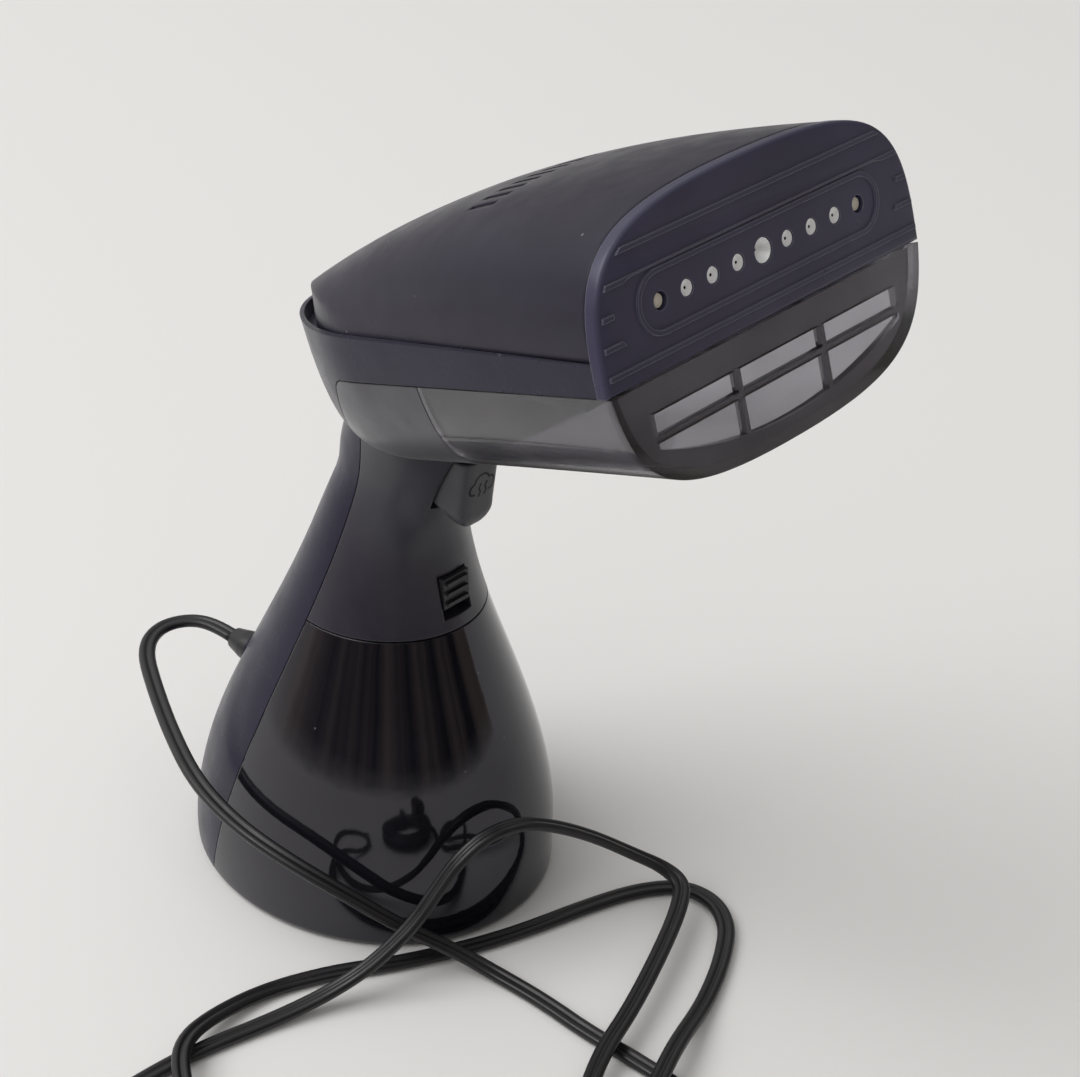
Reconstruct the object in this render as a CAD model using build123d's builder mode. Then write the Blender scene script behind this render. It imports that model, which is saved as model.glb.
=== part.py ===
"""Handheld garment steamer: a steam head on a flared handle, over a lift-off water tank, with its lead.

Millimetres, +Z up. The steam plate faces -Y and the origin is on the floor under the middle of the base.
Head pieces are drawn in the head's own frame: u across, v up the plate and w out of the plate.
A place along the head is given as its distance behind the plate's face.
"""
import os
from math import cos, pi, radians, sin, sqrt, tan

from build123d import *

os.makedirs("parts", exist_ok=True)

# Base and handle
base_half_width = 49.7
base_half_depth = 59.6
grip_half_width = 17.5
grip_half_depth = 19.1
flare_start = 5.7
flare_end = 150.0
flare_power = 1.07
base_lean = 0.132
grip_lean = 6.3
grip_lean_start = 100.0
grip_lean_end = 160.0
base_edge_round = 3.0
handle_heights = (6.0, 20.0, 36.0, 54.0, 74.0, 94.0, 114.0, 132.0)

# Neck sections, each as height, tilt in degrees, front, rear and half width
neck_sections = (
    (141.0, 5.0, -45.6, -3.2, 17.9),
    (149.0, 10.0, -52.0, -4.4, 18.8),
    (157.0, 15.0, -62.0, -5.4, 20.6),
    (168.0, 15.0, -75.0, -7.5, 24.0),
    (178.0, 15.0, -83.0, -12.0, 27.0),
)

# Head
head_tilt = 15.0
head_drop = 237.9
head_reach = 142.9
head_half_width = 55.0
head_taper = 0.157
head_tip = 158.8
tail_start = 105.0
tail_lead = 25.0
tail_blunt = 12.8
crown_height = 22.4
crown_fall = 46.4
crown_span = 175.0
crown_power = 2.3
vault_taper = 0.165
vault_foot = -9.5
vault_slope = 0.077
rim_height = -7.4
lip_slope = 0.048
ledge_slope = 0.07
seam_height = -15.3
seam_slope = 0.09
bowl_floor = -44.0
bowl_slope = 0.1
bowl_side_draft = 1.6
straight_end = 88.0
tail_places = (96.0, 105.0)
tail_shares = (0.16, 0.32, 0.46, 0.58, 0.68, 0.77, 0.85, 0.91, 0.955, 0.985)
vault_places = (-2.0, 35.0, 70.0, 105.0, 135.0, 160.0)
front_fullness = 0.80
rear_fullness = 0.75

# Walls and gaps
wall = 2.4
floor_thickness = 2.5
seam_gap = 0.3
tank_gap = 0.5
fit_gap = 0.3
snug_gap = 0.1
lip_thickness = 1.8
ledge_thickness = 2.0
ledge_width = 5.0
far = 260.0

# Top cover
cover_tip = 142.0
cover_lean = 0.36
cover_tail_lead = 22.0
cover_tail_blunt = 16.0
vent_count = 10
vent_pitch = 5.0
vent_width = 1.9
vent_length = 9.0
vent_place = 62.0

# Steam plate
plate_thickness = 3.5
plate_edge_round = 1.2
rib_levels = (14.0, 7.7, 1.4, -4.9, -11.1)
rib_width = 1.1
rib_height = 0.45
rib_inset = 1.3
rib_root = 1.5
oval_length = 84.0
oval_height = 14.6
oval_line = 1.1
oval_relief = 0.5
hole_pitch = 8.63
hole_diameters = (6.0, 4.0, 4.0, 4.0, 4.2)

# Clear lower shell and its grille
panel_thickness = 2.0
shell_length = 77.0
grille_top = -22.5
grille_half_width = 43.0
grille_end_level = -30.5
grille_bottom = -38.5
grille_rib = 1.6
grille_bar_level = -28.3
grille_post_place = 15.0

# Side seam between the rear housing and the front pieces, as points (y, z)
seam_corner_place = 118.0
seam_corner_round = 9.0
seam_top = (-28.3, 156.0)
seam_middle = (-8.9, 97.0)
seam_foot = (21.6, 0.0)

# Steam maker inside the head
chamber_width = 60.0
chamber_height = 18.0
chamber_length = 46.0
chamber_level = -5.0
chamber_wall = 4.0
chamber_floor = 7.0
gasket_thickness = 1.0
lid_thickness = 3.0
screw_radius = 1.25
screw_head_radius = 2.0
screw_head_height = 1.6
screw_depth = 8.0
seal_thickness = 1.5
manifold_depth = 12.0
manifold_height = 12.0
manifold_margin = 5.0
duct_height = 6.0
duct_depth = 8.0
nozzle_bore = 1.1
nozzle_tip_depth = 0.9
nozzle_flare = 0.5
heater_radius = 3.0
heater_half_span = 20.0
heater_legs = 26.0
heater_tail = 6.0
shield_level = -20.0
shield_thickness = 1.6
shield_length = 70.0
shield_post_radius = 2.5
shield_post_place = 26.5
thermostat_radius = 8.0
thermostat_height = 5.0
thermostat_tab = 0.8
fuse_radius = 2.5
fuse_length = 16.0

# Pump, switch and hose inside the handle
pump_place = -21.0
pump_radius = 9.0
pump_bottom = 103.0
pump_height = 25.0
nipple_radius = 2.4
nipple_height = 4.0
bracket_height = 112.0
bracket_thickness = 3.0
grommet_radius = 5.0
hose_radius = 3.4
hose_route = ((-21.0, 143.0), (-28.0, 178.0), (-54.0, 203.0))
hose_bend = 14.0
button_rise = 1.0
shelf_thickness = 2.4
switch_width = 12.8
switch_depth = 6.0
switch_height = 10.0
switch_front = -32.0
switch_button = (2.0, 1.2, 3.0)

# Trigger
trigger_half_width = 6.8
trigger_travel = 6.0
trigger_outline = ((-54.2, 152.6), (-51.0, 135.0), (-48.4, 130.4), (-43.0, 134.2), (-37.5, 137.0), (-41.5, 153.2))
trigger_round = 1.4
trigger_corner = 5.5
trigger_gap = 0.6
pin_place = (-44.5, 149.6)
pin_radius = 1.0
pin_clearance = 0.05
ear_thickness = 3.0
ear_radius = 3.6
spring_strip = 0.4
spring_half_width = 2.5
spring_lean = 4.8
spring_top = 146.0

# Tank latch
latch_width = 9.6
latch_height = 9.5
latch_travel = 2.8
latch_top = 111.2
latch_face = -41.1
latch_depth = 3.6
latch_side_gap = 0.4
latch_ridge = 0.9
latch_ridge_count = 3
latch_block = 1.8
stem_half_width = 1.8
stem_height = 4.0
flange_half_width = 3.6
flange_thickness = 1.6

# Water tank, valve and stopper
tank_top = 94.5
tank_wall = 2.2
cover_floor_lift = 1.8
cover_floor = 2.4
valve_radius = 5.5
valve_bottom = 84.0
valve_rise = 2.5
valve_web = 2.0
valve_shoulder = 4.0
valve_bore = 4.0
stem_radius = 2.3
stem_gap = 0.3
collar_thickness = 1.5
poppet_travel = 1.5
disc_spring_strip = 0.3
tank_seal_width = 1.9
tank_seal_height = 1.4
stopper_place = -34.4
stopper_radius = 4.2
stopper_depth = 6.5
stopper_head = 1.0
stopper_head_height = 1.4

# Circuit board and lead entry
board_place = 25.0
board_half_width = 18.0
board_height = 48.0
board_thickness = 1.6
rail_width = 4.5
rail_depth = 6.0
rail_height = 18.0
rail_grip = 1.8
terminal_half_width = 9.0
terminal_depth = 9.0
terminal_height = 12.0
terminal_level = 28.0
exit_height = 45.0
exit_reach = 60.5
entry_radius = 4.0
entry_boss_radius = 6.4
entry_boss_reach = 50.0
relief_flange_radius = 6.0
relief_flange_start = 38.0
relief_flange = 3.0
relief_collar_radius = 4.8
relief_collar = 4.2
relief_tip_radius = 3.5
clamp_half_width = 8.0
clamp_half_height = 4.0
clamp_thickness = 4.0

# Lead, coil, tie and plug
cord_radius = 2.4
tie_thickness = 0.7
tie_width = 9.0
tie_slack = 0.35
coil_centre = (-121.0, -140.0)
coil_outer_radius = 44.6
coil_pitch = 6.9
coil_layer_pitch = 5.3
coil_layer_turns = 2.75
coil_climb_turns = 0.5
coil_start_angle = -60.0
coil_tail = 30.0
lead_in = 18.0
plug_length = 30.0
plug_width = 24.0
plug_neck = 12.0
plug_neck_radius = 5.0
blade_length = 17.0
blade_width = 6.4
blade_thickness = 1.5
blade_spacing = 12.7

# Frames of the head, all derived from its tilt and place
tilt = radians(head_tilt)
out_of_plate = Vector(0, -cos(tilt), sin(tilt))
up_plate = Vector(0, sin(tilt), cos(tilt))
head_origin = Vector(0, -head_reach, head_drop)
head_plane = Plane(origin=head_origin, x_dir=(1, 0, 0), z_dir=out_of_plate)
plan_plane = Plane(origin=head_origin, x_dir=(1, 0, 0), z_dir=up_plate)


def clamp(value):
    """Value limited to the span from 0 to 1."""
    return min(1.0, max(0.0, value))


def head_point(level, place, across=0.0):
    """Point at a level up the plate and a place behind it."""
    return head_origin + up_plate * level - out_of_plate * place + Vector(across, 0, 0)


def side_point(level, place):
    """The same point seen from the side, as (y, z)."""
    point = head_point(level, place)
    return (point.Y, point.Z)


def slope_plane(level, slope):
    """Plane across the head that drops by slope for each unit behind the plate."""
    return Plane(origin=head_point(level, 0), x_dir=(1, 0, 0), z_dir=up_plate - out_of_plate * slope)


lip_plane = slope_plane(rim_height, lip_slope)
ledge_plane = slope_plane(rim_height, ledge_slope)
plate_back = head_plane.offset(-plate_thickness - seam_gap)
shell_back = head_plane.offset(-shell_length)


def body_section(z):
    """Half width, half depth and middle of the round body at height z: a raised cosine between base and grip."""
    swell = ((1 + cos(pi * clamp((z - flare_start) / (flare_end - flare_start)))) / 2) ** flare_power
    lean = (1 - cos(pi * clamp((z - grip_lean_start) / (grip_lean_end - grip_lean_start)))) / 2
    half_width = grip_half_width + (base_half_width - grip_half_width) * swell
    half_depth = grip_half_depth + (base_half_depth - grip_half_depth) * swell
    return half_width, half_depth, -base_lean * max(0.0, z - flare_start) - grip_lean * lean


def handle_form(bottom, inset):
    """Solid inside the body's skin, drawn in by inset: ellipses lofted from the base up into the head."""
    with BuildPart() as form:
        for z in (bottom,) + handle_heights:
            half_width, half_depth, middle = body_section(z)
            with BuildSketch(Plane.XY.offset(z)):
                with Locations((0, middle)):
                    Ellipse(half_width - inset, half_depth - inset)
        for z, lean, front, rear, half_width in neck_sections:
            half_depth = (rear - front) / 2
            normal = (0, sin(radians(lean)), cos(radians(lean)))
            with BuildSketch(Plane(origin=(0, (front + rear) / 2, z), x_dir=(1, 0, 0), z_dir=normal)):
                Ellipse(half_width - inset, half_depth - inset)
        loft()
    return form.part


def bezier_value(controls, t):
    """Value of a cubic curve at t, from its four controls along one axis."""
    a, b, c, d = controls
    return a * (1 - t) ** 3 + 3 * b * t * (1 - t) ** 2 + 3 * c * t * t * (1 - t) + d * t ** 3


def tail_controls(start_half, tip, lead, blunt):
    """Controls of the rounded rear end in plan, from the end of the straight taper to the tip."""
    return (
        (start_half, tail_start),
        (start_half - head_taper * lead, tail_start + lead),
        (blunt, tip),
        (0, tip),
    )


rim_start_half = head_half_width - head_taper * tail_start
rim_tail = tail_controls(rim_start_half, head_tip, tail_lead, tail_blunt)


def rim_half_width(place):
    """Half width of the bowl's rim: a straight taper, then the rounded tail found by halving steps."""
    if place <= tail_start:
        return head_half_width - head_taper * place
    low, high = 0.0, 1.0
    for _ in range(40):
        middle = (low + high) / 2
        if bezier_value([point[1] for point in rim_tail], middle) < place:
            low = middle
        else:
            high = middle
    return bezier_value([point[0] for point in rim_tail], low)


def lip_level(place):
    """Level of the bowl's rim behind the plate."""
    return rim_height - lip_slope * place


def ledge_level(place):
    """Level of the ledge that carries the top cover."""
    return rim_height - ledge_slope * place


def seam_level(place):
    """Level of the seam under the bowl, where the clear shell begins."""
    return seam_height - seam_slope * place


def crown_level(place):
    """Level of the top cover's ridge."""
    return crown_height - crown_fall * (max(0.0, place) / crown_span) ** crown_power


def bowl_bottom(place):
    """Level of the bowl's underside: a straight slope, then rounded up to the rim at the tail."""
    share = clamp((place - tail_start) / (head_tip - tail_start))
    rim = lip_level(place)
    return rim - (rim - bowl_floor + bowl_slope * place) * sqrt(max(0.0, 1 - share ** 3))


def fullness(place):
    """How square a head section is: fuller at the plate, rounder at the tail."""
    return front_fullness + (rear_fullness - front_fullness) * clamp(place / head_tip)


def draw_bowl(place, like, inset, mode=Mode.ADD):
    """Face of one trough section of the lower head, shaped as at the place it is like."""
    half = rim_half_width(like) - inset
    rim = lip_level(place)
    top = rim + 2 * ledge_width
    bottom = bowl_bottom(like) + inset
    full = fullness(like)
    shoulder = rim - full * (rim - bottom)
    with BuildLine() as outline:
        Line((-half, top), (half, top))
        Line((half, top), (half, rim))
        Bezier((half, rim), (half - bowl_side_draft, shoulder), (full * half, bottom), (0, bottom))
        Bezier((0, bottom), (-full * half, bottom), (-half + bowl_side_draft, shoulder), (-half, rim))
        Line((-half, rim), (-half, top))
    make_face(outline.edges(), mode=mode)


def bowl_form(front, inset):
    """Solid inside the lower head's skin, drawn in by inset, from the given front place to the tail."""
    with BuildPart() as form:
        for place in (front, straight_end):
            with BuildSketch(head_plane.offset(-place)):
                draw_bowl(place, place, inset)
        loft(ruled=True)
    with BuildPart() as tail:
        for place in (straight_end,) + tail_places:
            with BuildSketch(head_plane.offset(-place)):
                draw_bowl(place, place, inset)
        for share in tail_shares:
            like = tail_start + share * (head_tip - tail_start)
            place = tail_start + share * (head_tip - inset - tail_start)
            with BuildSketch(head_plane.offset(-place)):
                draw_bowl(place, like, inset)
        loft()
        add(form.part)
    return tail.part


def draw_vault(place, inset, mode=Mode.ADD):
    """Face of one arched section of the top cover, down to just under the ledge."""
    half = head_half_width - vault_taper * place - inset
    foot = vault_foot - vault_slope * place
    top = crown_level(place) - inset
    full = fullness(place)
    shoulder = foot + full * (top - foot)
    base = foot - 2 * ledge_width
    with BuildLine() as outline:
        Line((-half, base), (half, base))
        Line((half, base), (half, foot))
        Bezier((half, foot), (half, shoulder), (full * half, top), (0, top))
        Bezier((0, top), (-full * half, top), (-half, shoulder), (-half, foot))
        Line((-half, foot), (-half, base))
    make_face(outline.edges(), mode=mode)


def vault_form(inset):
    """Solid under the top cover's skin, drawn in by inset."""
    with BuildPart() as form:
        for place in vault_places:
            with BuildSketch(head_plane.offset(-place)):
                draw_vault(place, inset)
        loft()
    return form.part


def plan_prism(front_inset, tail_inset, tip, lead, blunt, lean=0.0):
    """Prism over the head's plan outline, drawn in by an inset that grows to the tail, which may lean forward."""
    front_half = head_half_width - front_inset + head_taper * ledge_width
    start_half = rim_start_half - tail_inset
    with BuildPart() as prism:
        for level in (-ledge_width * 6, ledge_width * 6):
            tail = tail_controls(start_half, tip - lean * level, lead, blunt)
            mirrored = [(-across, place) for across, place in reversed(tail)]
            with BuildSketch(plan_plane.offset(level)):
                with BuildLine():
                    Line((-front_half, -ledge_width), (front_half, -ledge_width))
                    Line((front_half, -ledge_width), tail[0])
                    Bezier(*tail)
                    Bezier(*mirrored)
                    Line(mirrored[-1], (-front_half, -ledge_width))
                make_face()
        loft(ruled=True)
    return prism.part


def seam_prism(grow):
    """Everything below the head's lower seam and in front of the side seam, grown outwards by grow."""
    corner = side_point(seam_level(seam_corner_place), seam_corner_place)
    start = side_point(seam_level(-far / 4), -far / 4)
    with BuildPart() as prism:
        with BuildSketch(Plane.YZ):
            with BuildLine():
                FilletPolyline(start, corner, seam_top, radius=seam_corner_round)
                ThreePointArc(seam_top, seam_middle, seam_foot)
                Polyline(seam_foot, (seam_foot[0], -far / 8), (-far, -far / 8), (-far, start[1]), start)
            make_face()
            if grow:
                offset(amount=grow, kind=Kind.INTERSECTION)
        extrude(amount=far / 2, both=True)
    return prism.part


def below(height):
    """Wide block from far below the floor up to a height."""
    with BuildPart() as block:
        with Locations((0, 0, height - far / 2)):
            Box(2 * far, 2 * far, far)
    return block.part


# Outer hull and the hollow inside it, shared by the housing pieces
with BuildPart() as hull:
    add(handle_form(0.0, 0.0))
    fillet(hull.edges().group_by(Axis.Z)[0], radius=base_edge_round)
    add(bowl_form(0.0, 0.0))

with BuildPart() as bowl_hollow:
    add(bowl_form(panel_thickness, wall))
    split(bisect_by=ledge_plane.offset(-ledge_thickness), keep=Keep.BOTTOM)

cover_floor_under = tank_top + cover_floor_lift
with BuildPart() as tank_space:
    add(seam_prism(tank_gap + wall))
    add(below(cover_floor_under + cover_floor), mode=Mode.INTERSECT)

with BuildPart() as hollow:
    add(handle_form(floor_thickness, wall))
    add(tank_space.part, mode=Mode.SUBTRACT)
    add(bowl_hollow.part)

with BuildPart() as front_hull:
    add(hull.part)
    add(seam_prism(0.0), mode=Mode.INTERSECT)

# Rear housing: the bowl of the head, the back of the handle and the back of the base in one moulding
entry_plane = Plane(origin=(0, 0, exit_height), x_dir=(1, 0, 0), z_dir=(0, 1, 0))
with BuildPart() as cover_recess:
    add(plan_prism(fit_gap, lip_thickness, head_tip - lip_thickness, tail_lead, tail_blunt))
    split(bisect_by=ledge_plane, keep=Keep.TOP)

with BuildPart() as rear_housing:
    add(hull.part)
    with BuildSketch(entry_plane.offset(relief_flange_start + relief_flange)):
        Circle(entry_boss_radius)
    extrude(amount=entry_boss_reach - relief_flange_start - relief_flange)
    split(bisect_by=lip_plane, keep=Keep.BOTTOM)
    split(bisect_by=plate_back, keep=Keep.BOTTOM)
    add(seam_prism(seam_gap), mode=Mode.SUBTRACT)
    add(hollow.part, mode=Mode.SUBTRACT)
    add(cover_recess.part, mode=Mode.SUBTRACT)
    add(
        plan_prism(
            lip_thickness + ledge_width,
            lip_thickness + ledge_width,
            cover_tip,
            cover_tail_lead,
            cover_tail_blunt,
        ),
        mode=Mode.SUBTRACT,
    )
    with BuildSketch(entry_plane.offset(relief_flange_start)):
        Circle(entry_radius + fit_gap)
    extrude(amount=far, mode=Mode.SUBTRACT)
    with Locations((0, board_place + board_thickness / 2, floor_thickness)):
        with GridLocations(2 * board_half_width + rail_width - 2 * rail_grip, 1, 2, 1):
            Box(rail_width, rail_depth, rail_height, align=(Align.CENTER, Align.CENTER, Align.MIN))
        Box(
            2 * (board_half_width + snug_gap),
            board_thickness + 2 * snug_gap,
            board_height,
            align=(Align.CENTER, Align.CENTER, Align.MIN),
            mode=Mode.SUBTRACT,
        )
rear_housing.part.label = "rear_housing"
export_step(rear_housing.part, "parts/rear_housing.step")

# Top cover of the head, a vaulted shell with vent slits, standing on the bowl's ledge
with BuildPart() as cover_hollow:
    add(vault_form(wall))
    add(
        plan_prism(
            2 * fit_gap + wall,
            lip_thickness + fit_gap + wall,
            cover_tip - wall,
            cover_tail_lead,
            cover_tail_blunt,
            cover_lean,
        ),
        mode=Mode.INTERSECT,
    )

with BuildPart() as head_top_cover:
    add(vault_form(0.0))
    add(
        plan_prism(2 * fit_gap, lip_thickness + fit_gap, cover_tip, cover_tail_lead, cover_tail_blunt, cover_lean),
        mode=Mode.INTERSECT,
    )
    split(bisect_by=ledge_plane.offset(fit_gap), keep=Keep.TOP)
    split(bisect_by=plate_back, keep=Keep.BOTTOM)
    add(cover_hollow.part, mode=Mode.SUBTRACT)
    with BuildSketch(plan_plane.offset(crown_height + wall)):
        with Locations((0, vent_place)):
            with GridLocations(vent_pitch, 1, vent_count, 1):
                Rectangle(vent_width, vent_length)
    extrude(amount=-(crown_height + wall), mode=Mode.SUBTRACT)
head_top_cover.part.label = "head_top_cover"
export_step(head_top_cover.part, "parts/head_top_cover.step")

# Steam plate with its raised ribs, raised oval line and the row of steam holes
hole_places = [(0.0, hole_diameters[0] / 2)]
for step, diameter in enumerate(hole_diameters[1:], start=1):
    hole_places.append((step * hole_pitch, diameter / 2))
    hole_places.append((-step * hole_pitch, diameter / 2))

with BuildPart() as face_plate:
    with BuildSketch(head_plane):
        draw_vault(0.0, 0.0)
        with Locations((0, seam_height + seam_gap - far / 2)):
            Rectangle(far, far, mode=Mode.SUBTRACT)
    extrude(amount=-plate_thickness)
    front_edges = face_plate.faces().sort_by(Axis(head_origin, out_of_plate))[-1].outer_wire().edges()
    fillet(front_edges, radius=plate_edge_round)
    with BuildSketch(head_plane.offset(-rib_root)):
        for level in rib_levels:
            with Locations((0, level)):
                Rectangle(far, rib_width)
        SlotOverall(oval_length + 2 * oval_height / 2, oval_height + oval_line, mode=Mode.SUBTRACT)
        for level in (rib_levels[0], rib_levels[-1]):
            with Locations((0, level)):
                Rectangle(far, rib_width)
        draw_vault(0.0, rib_inset, mode=Mode.INTERSECT)
    extrude(amount=rib_root + rib_height)
    with BuildSketch(head_plane.offset(-rib_root)):
        SlotOverall(oval_length, oval_height)
        SlotOverall(oval_length - 2 * oval_line, oval_height - 2 * oval_line, mode=Mode.SUBTRACT)
    extrude(amount=rib_root + oval_relief)
    for across, radius in hole_places:
        with BuildSketch(head_plane):
            with Locations((across, 0)):
                Circle(radius)
        extrude(amount=-2 * plate_thickness, mode=Mode.SUBTRACT)
face_plate.part.label = "face_plate"
export_step(face_plate.part, "parts/face_plate.step")

# Clear lower shell of the head, with the grille in its front panel
with BuildPart() as lower_head_shell:
    add(front_hull.part)
    split(bisect_by=shell_back, keep=Keep.TOP)
    add(hollow.part, mode=Mode.SUBTRACT)
    with BuildSketch(head_plane):
        with BuildLine():
            Polyline(
                (-grille_half_width, grille_end_level),
                (-grille_half_width, grille_top),
                (grille_half_width, grille_top),
                (grille_half_width, grille_end_level),
            )
            ThreePointArc(
                (grille_half_width, grille_end_level), (0, grille_bottom), (-grille_half_width, grille_end_level)
            )
        make_face()
        with Locations((0, grille_bar_level)):
            Rectangle(far, grille_rib, mode=Mode.SUBTRACT)
        with GridLocations(2 * grille_post_place, 1, 2, 1):
            Rectangle(grille_rib, far, mode=Mode.SUBTRACT)
    extrude(amount=-2 * panel_thickness, mode=Mode.SUBTRACT)
lower_head_shell.part.label = "lower_head_shell"
export_step(lower_head_shell.part, "parts/lower_head_shell.step")

# Front cover: the front of the handle and neck above the tank, with the trigger opening and the latch pocket
def turned(point, angle):
    """Point of the side view turned about the trigger's pin."""
    y, z = point[0] - pin_place[0], point[1] - pin_place[1]
    return (pin_place[0] + y * cos(angle) - z * sin(angle), pin_place[1] + y * sin(angle) + z * cos(angle))


def trigger_form(half_width, grow, angle):
    """Trigger's side outline, turned and grown, drawn out to both sides and rounded at its lower corners."""
    outline = [turned(point, angle) for point in trigger_outline]
    bottom = min(point[1] for point in outline) - grow
    with BuildPart() as form:
        with BuildSketch(Plane.YZ):
            with BuildLine():
                FilletPolyline(*outline, radius=trigger_round, close=True)
            make_face()
            if grow:
                offset(amount=grow)
        extrude(amount=half_width, both=True)
        with BuildSketch(Plane.XZ) as front_view:
            with Locations((0, bottom + far / 4)):
                Rectangle(2 * half_width, far / 2)
            fillet(front_view.vertices().group_by(Axis.Y)[0], radius=trigger_corner + grow)
        extrude(amount=far / 2, both=True, mode=Mode.INTERSECT)
    return form.part


cover_bottom = tank_top + tank_gap
latch_bottom = latch_top - latch_height
latch_back = latch_face + latch_depth
pocket_half_width = latch_width / 2 + latch_side_gap
pocket_bottom = latch_bottom - latch_travel - latch_side_gap
pocket_top = latch_top + latch_side_gap
pocket_floor = latch_back + fit_gap
block_back = pocket_floor + wall
stem_middle = latch_top - latch_height / 2
flange_front = block_back + fit_gap
ear_inner = trigger_half_width + trigger_gap
pressed = radians(trigger_travel)

with BuildPart() as under_floor:
    add(handle_form(floor_thickness, wall))
    add(below(cover_floor_under), mode=Mode.INTERSECT)

with BuildPart() as pocket_block:
    with Locations((0, (block_back + latch_face - latch_depth) / 2, (pocket_top + pocket_bottom) / 2)):
        Box(
            2 * (pocket_half_width + latch_block),
            block_back - latch_face + latch_depth,
            pocket_top - pocket_bottom + 2 * latch_block,
        )
    add(handle_form(floor_thickness, wall / 2), mode=Mode.INTERSECT)

with BuildPart() as ears:
    for side in (-1, 1):
        with BuildSketch(Plane.YZ.offset(side * (ear_inner + ear_thickness / 2))):
            with Locations(pin_place):
                Circle(ear_radius)
            with Locations((pin_place[0] - ear_radius, pin_place[1])):
                Rectangle(2 * ear_radius, 2 * ear_radius)
        extrude(amount=ear_thickness / 2, both=True)
    add(handle_form(floor_thickness, wall / 2), mode=Mode.INTERSECT)

with BuildPart() as front_cover:
    add(front_hull.part)
    split(bisect_by=shell_back.offset(-seam_gap), keep=Keep.BOTTOM)
    add(below(cover_bottom), mode=Mode.SUBTRACT)
    add(hollow.part, mode=Mode.SUBTRACT)
    add(under_floor.part, mode=Mode.SUBTRACT)
    add(pocket_block.part)
    with Locations((0, pocket_floor - far / 2, (pocket_top + pocket_bottom) / 2)):
        Box(2 * pocket_half_width, far, pocket_top - pocket_bottom, mode=Mode.SUBTRACT)
    with Locations((0, pocket_floor, stem_middle - latch_travel / 2)):
        Box(
            2 * (stem_half_width + fit_gap),
            4 * wall,
            stem_height + latch_travel + 2 * fit_gap,
            mode=Mode.SUBTRACT,
        )
    add(trigger_form(ear_inner, trigger_gap, 0.0), mode=Mode.SUBTRACT)
    add(trigger_form(ear_inner, trigger_gap, pressed), mode=Mode.SUBTRACT)
    add(ears.part)
    with BuildSketch(Plane.YZ):
        with Locations(pin_place):
            Circle(pin_radius)
    extrude(amount=ear_inner + ear_thickness, both=True, mode=Mode.SUBTRACT)
    with BuildSketch(Plane.XY.offset(cover_bottom)):
        with Locations((0, pump_place)):
            Circle(valve_radius + tank_gap)
    extrude(amount=2 * (cover_floor + cover_floor_lift), mode=Mode.SUBTRACT)
front_cover.part.label = "front_cover"
export_step(front_cover.part, "parts/front_cover.step")

# Steam chamber: an open casting behind the plate, with a groove under it for the heater
manifold_front = plate_thickness + seal_thickness
chamber_front = manifold_front + manifold_depth
chamber_top = chamber_level + chamber_height / 2
chamber_bottom = chamber_level - chamber_height / 2
chamber_middle = chamber_front + chamber_length / 2
chamber_back = chamber_front + chamber_length
screw_span_u = chamber_width - chamber_wall
screw_span_r = chamber_length - chamber_wall
heater_turn = chamber_middle + chamber_length / 2 - heater_legs
heater_plane = plan_plane.offset(chamber_bottom)


def heater_form(radius, tail):
    """Round bar bent to a U under the chamber, its two ends running on behind it by tail."""
    end = chamber_back + tail
    with BuildPart() as bar:
        with BuildLine(heater_plane) as route:
            Line((-heater_half_span, end), (-heater_half_span, heater_turn))
            ThreePointArc(
                (-heater_half_span, heater_turn),
                (0, heater_turn - heater_half_span),
                (heater_half_span, heater_turn),
            )
            Line((heater_half_span, heater_turn), (heater_half_span, end))
        with BuildSketch(Plane(route.line ^ 0)):
            Circle(radius)
        sweep()
    return bar.part


with BuildPart() as steam_chamber:
    with BuildSketch(plan_plane.offset(chamber_bottom)):
        with Locations((0, chamber_middle)):
            Rectangle(chamber_width, chamber_length)
    extrude(amount=chamber_height)
    with BuildSketch(plan_plane.offset(chamber_top)):
        with Locations((0, chamber_middle)):
            Rectangle(chamber_width - 2 * chamber_wall, chamber_length - 2 * chamber_wall)
    extrude(amount=chamber_floor - chamber_height, mode=Mode.SUBTRACT)
    with BuildSketch(plan_plane.offset(chamber_top)):
        with Locations((0, chamber_middle)):
            with GridLocations(screw_span_u, screw_span_r, 2, 2):
                Circle(screw_radius)
    extrude(amount=-screw_depth, mode=Mode.SUBTRACT)
    with BuildSketch(head_plane.offset(-chamber_front)):
        Circle(duct_height / 2)
    extrude(amount=-chamber_wall, mode=Mode.SUBTRACT)
    add(heater_form(heater_radius + snug_gap, far / 8), mode=Mode.SUBTRACT)
steam_chamber.part.label = "steam_chamber"
export_step(steam_chamber.part, "parts/steam_chamber.step")

# Heater bar in the groove
with BuildPart() as heating_element:
    add(heater_form(heater_radius, heater_tail))
heating_element.part.label = "heating_element"
export_step(heating_element.part, "parts/heating_element.step")

# Gasket between the chamber and its lid
with BuildPart() as chamber_gasket:
    with BuildSketch(plan_plane.offset(chamber_top)):
        with Locations((0, chamber_middle)):
            Rectangle(chamber_width, chamber_length)
            Rectangle(
                chamber_width - 2 * chamber_wall, chamber_length - 2 * chamber_wall, mode=Mode.SUBTRACT
            )
            with GridLocations(screw_span_u, screw_span_r, 2, 2):
                Circle(screw_radius + snug_gap, mode=Mode.SUBTRACT)
    extrude(amount=gasket_thickness)
chamber_gasket.part.label = "chamber_gasket"
export_step(chamber_gasket.part, "parts/chamber_gasket.step")

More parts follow.
